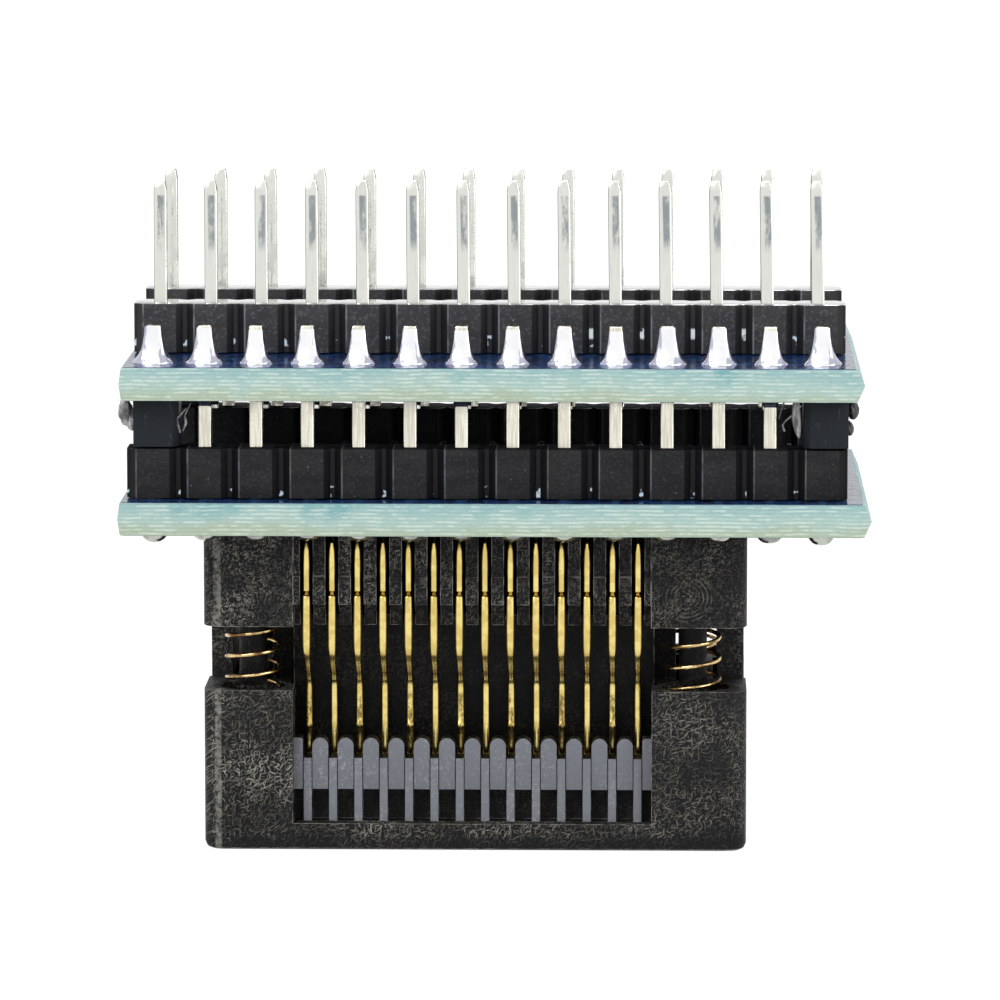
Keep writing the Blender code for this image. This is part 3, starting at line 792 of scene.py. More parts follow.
@dataclass(frozen=True)
class StripPlastic(Finish):
    """Black strip plastic: satin facets, notches darkened by painted shade, painted highlight lines
    at the facets' left edges, moulding specks, pale foot flecks and an optional painted gleam on
    the webs.
    """

    base: Triple = srgb(52, 53, 56)
    dark: Triple = srgb(34, 34, 38)
    # Colour of the painted shade in the notches.
    notch_shade_tone: Triple = srgb(14, 14, 17)
    # Colour of the moulding flecks and of the painted edge highlight.
    fleck: Triple = srgb(150, 152, 156)
    foot: Triple = srgb(206, 222, 236)
    gleam: Triple = srgb(236, 240, 242)
    foot_z: float = 0.0
    foot_height: float = 0.55 * MM
    gleam_x: Pair | None = None
    gleam_z: Pair = (25.4 * MM, 25.9 * MM)
    facet: float = 0.82 * MM
    web: float = 0.1 * MM
    specks: float = 0.5
    roughness: float = 0.4
    specular: float = 0.3
    coat: float = 0.0

    def paint(self, s: Surface) -> None:
        """Wire tone bands, painted notch shade, painted edge highlights, specks, foot flecks, gleam
        and grain into the shader.
        """
        off = s.from_pin(s.x)
        bands = s.noise(520.0, 4.0, squeeze=3.0)
        grain = s.noise(7000.0, 4.0, 0.7)
        # Painted highlight: a thin pale line down each facet's left edge, drawn in the fleck
        # colour.
        line = s.times(s.window(off, -self.facet - 0.01 * MM, -self.facet + 0.06 * MM, 0.02 * MM),
                       s.band(s.noise(1300.0), 0.35, 0.6, 0.1, 0.15 + 0.6 * self.specks))
        # Painted shade: the chamfered notches beside each facet are darkened, and the web at their
        # bottom is lifted part way back.
        notch_shade = s.math("GREATER_THAN", s.size(off), self.facet + 0.03 * MM)
        web = s.math("GREATER_THAN", s.size(off), LAYOUT.pitch / 2 - self.web)
        tone = s.mix(s.band(bands, 0.3, 0.7), self.dark, self.base)
        marks = [
            (s.times(s.band(grain, 0.5, 0.75), self.specks * 0.5), self.fleck),
            (s.band(s.noise(4300.0, 1.0), 0.74, 0.8, 0.0, self.specks), self.fleck),
            (line, self.fleck),
            (s.times(notch_shade, 0.88), self.notch_shade_tone),
            (s.times(web, 0.35), self.base),
        ]
        if self.foot_z:
            low = s.window(s.z, self.foot_z, self.foot_z + self.foot_height, 0.05 * MM)
            marks.append((s.times(low, s.band(s.noise(2300.0, 1.0), 0.56, 0.64), web), self.foot))
        if self.gleam_x:
            oval = s.times(s.window(s.z, *self.gleam_z, 0.08 * MM),
                           s.window(s.x, *self.gleam_x, 0.1 * MM),
                           s.band(s.noise(1500.0, 1.0), 0.36, 0.46))
            marks.append((s.times(oval, web), self.gleam))
        for share, colour in marks:
            tone = s.mix(share, tone, colour)
        rough = s.band(grain, 0.3, 0.7, self.roughness * 0.85, self.roughness * 1.15)
        s.wire(tone, rough, s.plus(grain, bands), 0.15, 0.02 * MM,
               Specular_IOR_Level=self.specular, Coat_Weight=self.coat, Coat_Roughness=0.05)


@dataclass(frozen=True)
class TornPlastic(Finish):
    """Black plastic torn at a break, with pale stretched fibres and grey flash."""

    base: Triple = srgb(36, 37, 40)
    torn: Triple = srgb(150, 150, 150)
    amount: float = 0.6
    specular: float = 0.3

    def paint(self, s: Surface) -> None:
        """Wire pale patches, stretched along the tear, into the shader."""
        strands = s.noise(3200.0, 5.0, 0.7, squeeze=0.3)
        share = s.band(strands, 0.62 - 0.25 * self.amount, 0.75)
        s.wire(s.mix(share, self.base, self.torn), 0.35, strands, 0.5, 0.04 * MM,
               Specular_IOR_Level=self.specular)


@dataclass(frozen=True)
class BoardLaminate(Finish):
    """Glass board whose cut edges show pale layers, bluish above and olive below."""

    bottom: float = 0.0
    thick: float = 1.6 * MM
    upper: Triple = srgb(134, 170, 172)
    middle: Triple = srgb(156, 182, 176)
    lower: Triple = srgb(156, 170, 148)
    stain: Triple = srgb(92, 150, 158)
    shade: Triple = srgb(112, 142, 138)
    glint: Triple = srgb(214, 222, 212)

    def paint(self, s: Surface) -> None:
        """Wire plies, glass bundles and a stain below the top edge into the shader."""
        group = s.group(weave_group())
        level = s.math("DIVIDE", s.minus(s.z, self.bottom), self.thick)
        wavy = s.plus(level, s.band(s.noise(300.0), 0.2, 0.8, -0.22, 0.22))
        tone = s.mix(s.band(wavy, 0.08, 0.5), self.lower, self.middle)
        blot = s.times(s.band(s.noise(190.0), 0.54, 0.66), s.band(level, 0.3, 0.8))
        for share, colour in (
            (s.band(wavy, 0.5, 0.98), self.upper),
            (s.times(blot, 0.8), self.stain),
            (s.band(group["Layer"], 0.0, 1.0, 0.22, 0.0), self.shade),
            (s.times(group["Streaks"], 0.5), self.glint),
        ):
            tone = s.mix(share, tone, colour)
        s.wire(tone, 0.5, group["Streaks"], 0.3, 0.03 * MM, Specular_IOR_Level=0.3)


@dataclass(frozen=True)
class BoardMask(Finish):
    """Glossy navy lacquer over the boards' faces, with faint tracks and fine light specks."""

    base: Triple = srgb(20, 58, 108)
    dark: Triple = srgb(8, 24, 58)
    track: Triple = srgb(34, 84, 140)
    speck: Triple = srgb(150, 182, 206)
    track_half: float = 0.16 * MM

    def paint(self, s: Surface) -> None:
        """Wire cloudy depth, tracks and specks into the shader."""
        tone = s.mix(s.band(s.noise(900.0, 4.0), 0.35, 0.65), self.dark, self.base)
        track = s.window(s.size(s.from_pin(s.x)), -1.0, self.track_half, 0.03 * MM)
        tone = s.mix(s.times(track, 0.6), tone, self.track)
        specks = s.band(s.noise(4600.0, 3.0, 0.7), 0.62, 0.72, 0.0, 0.75)
        rough = s.band(s.noise(2400.0), 0.3, 0.7, 0.14, 0.26)
        s.wire(s.mix(specks, tone, self.speck), rough, s.noise(2600.0), 0.2, 0.02 * MM)


@dataclass(frozen=True)
class Metal(Finish):
    """Bright metal with drawn lines and a cloudy tarnish."""

    bright: Triple = srgb(238, 238, 232)
    dull: Triple = srgb(186, 188, 184)
    roughness: float = 0.22
    spread: float = 0.1
    lines: float = 0.35
    tarnish: float = 0.7
    cloudiness: float = 900.0

    def paint(self, s: Surface) -> None:
        """Wire lines and tarnish into the shader."""
        group = s.group(wear_group(), Cloudiness=self.cloudiness)
        cloud = group["Cloud"]
        share = s.most(s.times(cloud, self.tarnish), s.times(group["Lines"], self.lines))
        tone = self.tint(s, s.mix(share, self.bright, self.dull))
        rough = s.band(cloud, 0.0, 1.0, self.roughness - self.spread, self.roughness + self.spread)
        s.wire(tone, rough, cloud, 0.3, 0.01 * MM, Metallic=1.0)

    def tint(self, s: Surface, tone: Socket) -> Socket:
        """Return the metal's colour with the finish's own marks, none for plain metal."""
        return tone


@dataclass(frozen=True)
class PinMetal(Metal):
    """Tinned pins, near white, with a dull grey streak up the front face."""

    streak: Triple = srgb(138, 146, 150)
    streak_low: float = 29.5 * MM
    streak_high: float = 32.55 * MM
    foot_z: float = 27.13 * MM
    exposed: float = 6.1 * MM
    lean_slope: float = 0.0071
    lean_start: float = 0.1 * MM

    def tint(self, s: Surface, tone: Socket) -> Socket:
        """Rub a grey streak into the upper half of the front, along the pin's lean.

        Args:
            s: The material's nodes.
            tone: The drawn metal's colour.

        Returns:
            The colour with the streak.
        """
        rise = s.times(s.minus(s.z, self.foot_z), 1 / self.exposed)
        lean = s.times(s.plus(s.times(s.x, self.lean_slope), self.lean_start), rise)
        off = s.size(s.plus(s.plus(s.from_pin(s.x), lean), -0.03 * MM))
        middle = s.times(s.band(off, 0.2 * MM, 0.13 * MM), s.band(s.y, 0.0, -1.0 * MM))
        span = s.times(s.band(s.z, self.streak_low, self.streak_low + 0.9 * MM),
                       s.band(s.z, self.streak_high, self.streak_high - 0.1 * MM))
        rub = s.band(s.noise(1700.0, 4.0, 0.7, squeeze=0.3), 0.34, 0.56)
        return s.mix(s.times(middle, span, rub, 0.9), tone, self.streak)


@dataclass(frozen=True)
class SolderMetal(Metal):
    """Bright solder whose flanks, left and right along the row, turn a thin lavender grey."""

    film: Triple = srgb(160, 162, 186)
    reach: float = 0.34 * MM

    def tint(self, s: Surface, tone: Socket) -> Socket:
        """Lay the lavender grey on both flanks of each joint.

        Args:
            s: The material's nodes.
            tone: The bright solder's colour.

        Returns:
            The colour with the film.
        """
        sway = s.band(s.noise(1300.0, 2.0), 0.3, 0.7, -0.06 * MM, 0.06 * MM)
        wavy = s.plus(s.size(s.from_pin(s.x)), sway)
        flank = s.band(wavy, self.reach - 0.03 * MM, self.reach + 0.03 * MM)
        return s.mix(s.times(flank, 0.75), tone, self.film)


@dataclass(frozen=True)
class ContactGold(Finish):
    """Gold-plated spring contacts, tinned at the tail, even or worn dark on the lever, with painted
    shade at the inward-bent neck.
    """

    bright: Triple = srgb(232, 214, 136)
    deep: Triple = srgb(184, 150, 72)
    dark: Triple = srgb(84, 66, 34)
    tin: Triple = srgb(168, 170, 170)
    worn: float = 0.0
    roughness: float = 0.24
    neck_shade_z: Pair = (8.3 * MM, 9.9 * MM)
    lever_z: Pair = (7.7 * MM, 7.4 * MM)

    def paint(self, s: Surface) -> None:
        """Wire gold, drawn lines, the painted neck shade, the worn lever and the tinned tail into
        the shader.
        """
        group = s.group(wear_group(), Fineness=14000.0, Cloudiness=1500.0)
        tone = s.mix(s.band(group["Cloud"], 0, 1, 0.0, 0.45), self.bright, self.deep)
        spots = s.band(s.noise(4200.0, 4.0, 0.75, squeeze=0.5), 0.4, 0.6)
        for share, colour in (
            # Painted shade: the neck, where the contact bends inward, is darkened towards the deep
            # gold.
            (s.times(s.window(s.z, *self.neck_shade_z, 0.35 * MM), 0.6), self.deep),
            (s.times(s.band(s.z, *self.lever_z), spots, self.worn), self.dark),
            (s.band(s.z, LAYOUT.lower_top, LAYOUT.lower_top + 0.1 * MM), self.tin),
        ):
            tone = s.mix(share, tone, colour)
        rough = s.band(group["Lines"], 0.0, 1.0, self.roughness - 0.06, self.roughness + 0.08)
        s.wire(tone, rough, group["Cloud"], 0.25, 0.01 * MM, Metallic=1.0)


class Finishes:
    """The adapter's finishes by place."""

    # The pale strip down the left front corner of base and cover is a painted highlight.
    BASE = FilledPlastic("base_plastic", fibres=0.75, share=0.85, mottle=0.6, size=4600.0,
                         rubbed=(-14.06 * MM, -13.68 * MM),
                         swirl=(9.5 * MM, 12.84 * MM, 1.5 * MM))
    COVER = FilledPlastic("cover_plastic", fibres=0.85, share=0.85, mottle=0.22, size=4000.0,
                          length=6.0, rubbed=(-14.02 * MM, -13.7 * MM))
    # The comb faces are the same black plastic; their grey is a painted sheen.
    COMB = FilledPlastic("comb_plastic", base=srgb(108, 110, 117), light=srgb(176, 178, 180),
                         fibres=0.45, mottle=0.45, specular=0.2)
    # Pale line on the mouldings' bevelled edges: painted highlight.
    EDGE = EdgeHighlight("worn_plastic_edge")
    STRIP = StripPlastic("strip_plastic", base=srgb(46, 46, 48), foot_z=25.0 * MM,
                         gleam_x=(4.0 * MM, 13.0 * MM))
    STRIP_TOP = StripPlastic("strip_top_plastic", roughness=0.12, specular=1.0, coat=1.0)
    # The link strips take darker tones, fewer specks and less specular than the long strips:
    # painted shade, as they stand between the boards.
    LINK_STRIP = StripPlastic("link_strip_plastic", base=srgb(36, 36, 37), dark=srgb(26, 26, 28),
                              notch_shade_tone=srgb(9, 9, 12), foot_z=18.05 * MM, specks=0.18,
                              specular=0.12)
    LINK_TOP = StripPlastic("link_strip_top_plastic", base=srgb(36, 36, 37),
                            dark=srgb(26, 26, 28), specks=0.18, roughness=0.7, specular=0.01)
    # The spacers' very dark, bluish base: painted shade, as they stand between the boards.
    SPACER = TornPlastic("spacer_plastic", base=srgb(26, 30, 36), torn=srgb(70, 72, 74),
                         amount=0.1, specular=0.16)
    BEAD = TornPlastic("molten_plastic", base=srgb(18, 20, 26), torn=srgb(90, 92, 100),
                       amount=0.3, specular=0.7)
    FLASH = TornPlastic("flash_plastic", base=srgb(70, 70, 72), torn=srgb(196, 196, 194),
                        amount=1.0, specular=0.5)
    LOWER_LAMINATE = BoardLaminate("lower_board_laminate", bottom=LAYOUT.lower_bottom)
    UPPER_LAMINATE = BoardLaminate("upper_board_laminate", bottom=LAYOUT.upper_bottom)
    MASK = BoardMask("navy_lacquer")
    LONG_PIN = PinMetal("long_pin_tin", bright=srgb(228, 229, 222), dull=srgb(202, 204, 196),
                        roughness=0.2, tarnish=0.5)
    # Darker tin for the pins' side faces: painted shade.
    PIN_SIDE = Metal("pin_side_tin", bright=srgb(146, 148, 142), dull=srgb(106, 108, 104),
                     roughness=0.35)
    LINK_PIN = Metal("link_pin_tin", bright=srgb(244, 240, 226), dull=srgb(178, 172, 154),
                     lines=0.5, tarnish=0.25)
    SOLDER = SolderMetal("solder", bright=srgb(252, 252, 253), dull=srgb(224, 226, 232),
                         roughness=0.15, spread=0.03, lines=0.0, tarnish=0.35, cloudiness=700.0)
    # Dark navy tone of the solder under the upper board: painted shade and dark reflection.
    SHADED_SOLDER = Metal("shaded_solder", bright=srgb(60, 62, 74), dull=srgb(26, 28, 40),
                        roughness=0.38, lines=0.0)
    # Darker than the bright solder on the upper board: painted shade for the domes that hang under
    # the lower board.
    DOME_SOLDER = Metal("dome_solder", bright=srgb(188, 190, 182), dull=srgb(122, 124, 118),
                        roughness=0.2, lines=0.0)
    # Darker than the bright solder on the upper board: painted shade for the tail joints that sit
    # between the boards.
    TAIL_SOLDER = Metal("tail_solder", bright=srgb(176, 180, 184), dull=srgb(120, 124, 130),
                        roughness=0.45, lines=0.0)
    GOLD_EVEN = ContactGold("contact_gold")
    GOLD_RUBBED = ContactGold("rubbed_contact_gold", worn=0.85)
    GOLD_EDGE = ContactGold("shaded_contact_gold", bright=srgb(150, 122, 52),
                            deep=srgb(96, 74, 32), roughness=0.35)
    # Spring wire: the cloud is tarnish, but the very dark dull tone that it spreads over most of
    # the wire is painted reflection of the dark recess round the springs.
    SPRING = Metal("spring_wire", bright=srgb(238, 208, 150), dull=srgb(96, 66, 34),
                   roughness=0.2, tarnish=0.95, cloudiness=1150.0)


def set_faces(obj: Piece, finish: Finish, test: Callable[[bpy.types.MeshPolygon], bool]) -> None:
    """Give some faces of a piece a finish of their own.

    Args:
        obj: The piece, which has its main finish already.
        finish: The finish.
        test: Says whether a face takes it.
    """
    obj.data.materials.append(finish.build())
    index = len(obj.data.materials) - 1
    for face in obj.data.polygons:
        if test(face):
            face.material_index = index


def dress(obj: Piece, finish: Finish, nodes: Iterable[str] = (),
          body: str = ADAPTER) -> None:
    """Give a piece its finish and its body, and hide the CAD nodes that it stands for.

    Args:
        obj: The finished piece.
        finish: Its finish, taken if it has none yet.
        nodes: The CAD nodes that it stands for.
        body: The CAD body that it moves with.
    """
    if not obj.data.materials:
        obj.data.materials.append(finish.build())
    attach(obj, body)
    if nodes:
        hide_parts(*nodes)
    LOG.info("piece %s: %d faces on %s", obj.name, len(obj.data.polygons), body)


# Sub-assemblies


@dataclass
class PinRow:
    """One row of square pins in its breakaway strip."""

    side: Side
    kind: str
    row_y: float
    pin_low: float
    taper: float
    strip_finish: Finish
    top_finish: Finish
    pin_finish: Finish
    slot: str
    strip_bottom: float
    height: float = 2.44 * MM
    cell_depth: float = 2.54 * MM
    chamfer: float = 0.33 * MM
    web: float = 0.11 * MM
    tip_share: float = 0.72
    leans: dict[int, float] = field(default_factory=dict)

    @property
    def node(self) -> str:
        """The CAD node that the row stands for."""
        return f"{self.kind}_pin_row_{self.side.word}"

    @property
    def pin_high(self) -> float:
        """The height of the pins' upper ends."""
        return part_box(self.node)[1].z

    @property
    def middle_y(self) -> float:
        """The row's place across the boards."""
        return self.side.value * self.row_y

    def make_cell(self) -> Piece:
        """Model one cell of the strip about the origin.

        Returns:
            A block with chamfered upright corners and a short web at each end.
        """
        deep = self.cell_depth / 2
        half = LAYOUT.pitch / 2 - self.web
        bench = Bench.block("cell_pattern", (-half, -deep, 0.0), (half, deep, self.height))
        bench.pick_upright_edges()
        bench.bevel(self.chamfer, 1)
        bench.pick(Pick.EDGES, lambda e: along(e, 1) < 0.9
                   and all(v.co.z > self.height - WELD for v in e.verts))
        bench.bevel(0.05 * MM)
        for way in (-1, 1):
            bench.pick(Pick.FACES, lambda f, w=way: f.normal.x * w > 0.95
                       and f.calc_area() > 0.1 * MM * MM)
            bench.extrude(x=way * self.web)
        return bench.done(30.0)

    def make_strip(self) -> Piece:
        """Copy the cell along the row and join the copies.

        Returns:
            The strip, open between its cells and closed outside.
        """
        pattern = self.make_cell()
        cells = [copy_piece(pattern, f"{self.node}_cell_{i}", (x, self.middle_y, self.strip_bottom))
                 for i, x in enumerate(PIN_COLUMNS)]
        discard(pattern)
        bench = Bench.take(join_pieces(cells, f"{self.kind}_strip_{self.side.word}"), edit=True)
        seams = [(a + b) / 2 for a, b in zip(PIN_COLUMNS, PIN_COLUMNS[1:])]
        bench.pick(Pick.FACES, lambda f: abs(f.normal.x) > 0.99 and any(
            abs(f.calc_center_median().x - s) < 0.01 * MM for s in seams))
        bpy.ops.mesh.delete(type="FACE")
        strip = bench.done(30.0)
        strip.data.materials.append(self.strip_finish.build())
        set_faces(strip, self.top_finish, lambda face: face.normal.z > 0.95)
        return strip

    def make_pin(self) -> Piece:
        """Model one pin about the origin, its foot at its real height.

        Returns:
            A square pin with soft upright edges and a coined tip.
        """
        half = LAYOUT.pin_width / 2
        top = self.pin_high - self.taper
        bench = Bench.block("pin_pattern", (-half, -half, self.pin_low), (half, half, top))
        bench.pick_upright_edges()
        bench.bevel(0.06 * MM, 3)
        bench.pick_end(1)
        if self.taper:
            bench.extrude(z=self.taper)
            bench.resize(self.tip_share, self.tip_share, (0, 0, self.pin_high))
        bench.pick(Pick.EDGES, lambda e: all(v.co.z > self.pin_high - WELD for v in e.verts))
        bench.bevel(0.05 * MM)
        pin = bench.done(40.0)
        pin.data.materials.append(self.pin_finish.build())
        # Painted shade: the side faces and the slopes of the tip take the darker tin.
        set_faces(pin, Finishes.PIN_SIDE,
                  lambda face: face.normal.x > 0.3 or face.normal.x < -0.97
                  or (face.normal.x < -0.5 and face.center.z > top))
        return pin

    def lean(self, pin: Piece, shift: float) -> None:
        """Lean a pin's exposed length sideways, as real pins do.

        Args:
            pin: The pin.
            shift: How far its tip moves along X.
        """
        foot = self.strip_bottom + self.height
        for vertex in pin.data.vertices:
            rise = max(0.0, vertex.co.z - foot) / (self.pin_high - foot)
            vertex.co.x += shift * rise

    def build(self) -> None:
        """Make the strip and its pins, and put them in the frame."""
        dress(self.make_strip(), self.strip_finish, [self.node])
        pattern = self.make_pin()
        for i, x in enumerate(PIN_COLUMNS):
            name = f"{self.kind}_pin_{self.side.word}_{i + 1:02d}"
            pin = copy_piece(pattern, name, (x, self.middle_y, 0.0))
            self.lean(pin, self.leans.get(i, 0.0))
            dress(pin, self.pin_finish, [self.node])
        discard(pattern)


@dataclass
class SolderJoints:
    """Solder on the pins and on the contacts' tails."""

    cone: Sequence[Pair] = (
        (0.0, 1.0), (0.05, 0.97), (0.12, 0.86), (0.26, 0.71), (0.46, 0.57), (0.72, 0.47),
        (1.05, 0.40), (1.35, 0.37))
    widths: Sequence[float] = (
        1.12, 1.04, 0.94, 0.98, 0.95, 0.98, 0.94, 0.96, 0.99, 0.94, 1.08, 1.02, 0.95, 1.05)
    heights: Sequence[float] = (
        1.05, 1.02, 0.96, 0.98, 0.97, 1.0, 0.95, 0.98, 1.02, 0.94, 1.04, 1.03, 0.95, 1.05)
    sides: int = 32
    cone_height: float = 1.72 * MM
    cone_radius: float = 0.95 * MM
    dome_height: float = 0.6 * MM
    dome_radius: float = 0.68 * MM
    dome_steps: int = 7
    long_size: Triple = (0.9, 0.9, -0.6)
    beneath_size: Triple = (0.78, 0.78, -0.42)
    tail_size: Triple = (0.55, 0.55, 0.42)
    beneath: Sequence[int] = (1, 6, 12)

    def make_cone(self) -> Piece:
        """Model one concave cone of solder about the origin, round below and square above.

        Returns:
            The cone.
        """
        full = self.cone[-1][0]
        height = self.cone_height
        bench = Bench.disc("cone_pattern", (0, 0, 0), self.cone_radius, self.sides)
        for (last_z, last), (z, share) in zip(self.cone, self.cone[1:]):
            bench.extrude(z=(z - last_z) / full * height)
            bench.resize(share / last, share / last, (0, 0, z / full * height))
        cone = bench.done(50.0)
        for vertex in cone.data.vertices:
            turn = math.atan2(vertex.co.y, vertex.co.x)
            square = 1.0 / max(abs(math.cos(turn)), abs(math.sin(turn)))
            grow = 1.0 + (square - 1.0) * min(1.0, vertex.co.z / height * 2.2)
            vertex.co.x *= grow
            vertex.co.y *= grow
        return cone

    def make_dome(self) -> Piece:
        """Model one rounded blob of solder about the origin, hanging down from z = 0.

        Returns:
            The blob.
        """
        bench = Bench.disc("dome_pattern", (0, 0, 0), self.dome_radius, self.sides)
        last_angle, last = 0.0, 1.0
        for step in range(1, self.dome_steps + 1):
            angle = step / (self.dome_steps + 0.4) * math.pi / 2
            share = math.cos(angle) ** 0.8
            bench.extrude(z=-self.dome_height * (math.sin(angle) - math.sin(last_angle)))
            bench.resize(share / last, share / last, (0, 0, 0))
            last_angle, last = angle, share
        return bench.done(60.0)

    def row(self, name: str, pattern: Piece, places: Sequence[Triple], factors: Sequence[Triple],
            finish: Finish) -> None:
        """Copy one joint to its places, join the copies and put them in the frame.

        Args:
            name: The joined piece's name.
            pattern: The joint that was modelled once.
            places: Where the joints sit.
            factors: How each is scaled.
            finish: Their finish.
        """
        copies = [copy_piece(pattern, f"{name}_{i}", place, factor)
                  for i, (place, factor) in enumerate(zip(places, factors))]
        dress(join_pieces(copies, name), finish)

    def build(self) -> None:
        """Make every row of joints."""
        top = LAYOUT.upper_top + LACQUER
        under = LAYOUT.upper_bottom - LACQUER
        below = LAYOUT.lower_bottom - LACQUER
        upper = [(w, min(w, 1.0), h) for w, h in zip(self.widths, self.heights)]
        few = [PIN_COLUMNS[i] for i in self.beneath]
        cone = self.make_cone()
        for side in Side:
            y = side.value * LAYOUT.link_row_y
            long_y = side.value * LAYOUT.long_row_y
            self.row(f"solder_upper_{side.word}", cone, [(x, y, top) for x in PIN_COLUMNS],
                     upper, Finishes.SOLDER)
            self.row(f"solder_long_{side.word}", cone, [(x, long_y, under) for x in PIN_COLUMNS],
                     [self.long_size] * LAYOUT.pins, Finishes.SHADED_SOLDER)
            self.row(f"solder_beneath_{side.word}", cone, [(x, y, under) for x in few],
                     [self.beneath_size] * len(few), Finishes.SHADED_SOLDER)
        self.tails(cone)
        discard(cone)
        dome = self.make_dome()
        drops = [0.88 + 0.04 * (i % 3) for i in range(LAYOUT.pins)]
        drops[0], drops[12], drops[13] = 1.05, 1.0, 1.15
        for side in Side:
            y = side.value * (LAYOUT.link_row_y + 0.02 * MM)
            self.row(f"solder_lower_{side.word}", dome, [(x, y, below) for x in PIN_COLUMNS],
                     [(1.0, 1.0, drop) for drop in drops], Finishes.DOME_SOLDER)
        discard(dome)

    def tails(self, cone: Piece) -> None:
        """Put a small joint round every contact's tail on the lower board.

        Args:
            cone: The joint that was modelled once.
        """
        for side in Side:
            places = [(x, side.value * Contacts.tails[i % 2], LAYOUT.lower_top + LACQUER)
                      for i, x in enumerate(Contacts.places(side))]
            self.row(f"solder_tails_{side.word}", cone, places,
                     [self.tail_size] * LAYOUT.pins, Finishes.TAIL_SOLDER)


@dataclass
class Boards:
    """Both boards: laminate, and lacquer on each face."""

    depth: float = 22.86 * MM
    inset: float = 0.12 * MM
    left: float = 0.2 * MM
    slant: float = 0.36 * MM
    right: float = 0.06 * MM
    sink: float = 0.01 * MM

    def coat(self, node: str, name: str, bottom: float, top: float) -> None:
        """Model the lacquer on one face of a board, clear of its slanting right end.

        Args:
            node: The board's CAD node.
            name: The coat's name.
            bottom: The coat's lower face.
            top: The coat's upper face.
        """
        low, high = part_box(node)
        half = self.depth / 2 - self.inset
        bench = Bench.block(name, (low.x + self.left, -half, bottom),
                            (high.x - self.slant - self.right, half, top))
        bench.pick_upright_edges()
        bench.bevel(0.15 * MM)
        dress(bench.done(30.0), Finishes.MASK)

    def build(self) -> None:
        """Dress the CAD boards and coat their faces."""
        for node, finish, bottom, top in (
            ("lower_board", Finishes.LOWER_LAMINATE, LAYOUT.lower_bottom, LAYOUT.lower_top),
            ("upper_board", Finishes.UPPER_LAMINATE, LAYOUT.upper_bottom, LAYOUT.upper_top),
        ):
            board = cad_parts[node]
            board.data.materials.clear()
            board.data.materials.append(finish.build())
            self.coat(node, f"{node}_lacquer_top", top - self.sink, top + LACQUER)
            self.coat(node, f"{node}_lacquer_bottom", bottom - LACQUER, bottom + self.sink)
            LOG.info("board %s dressed", node)


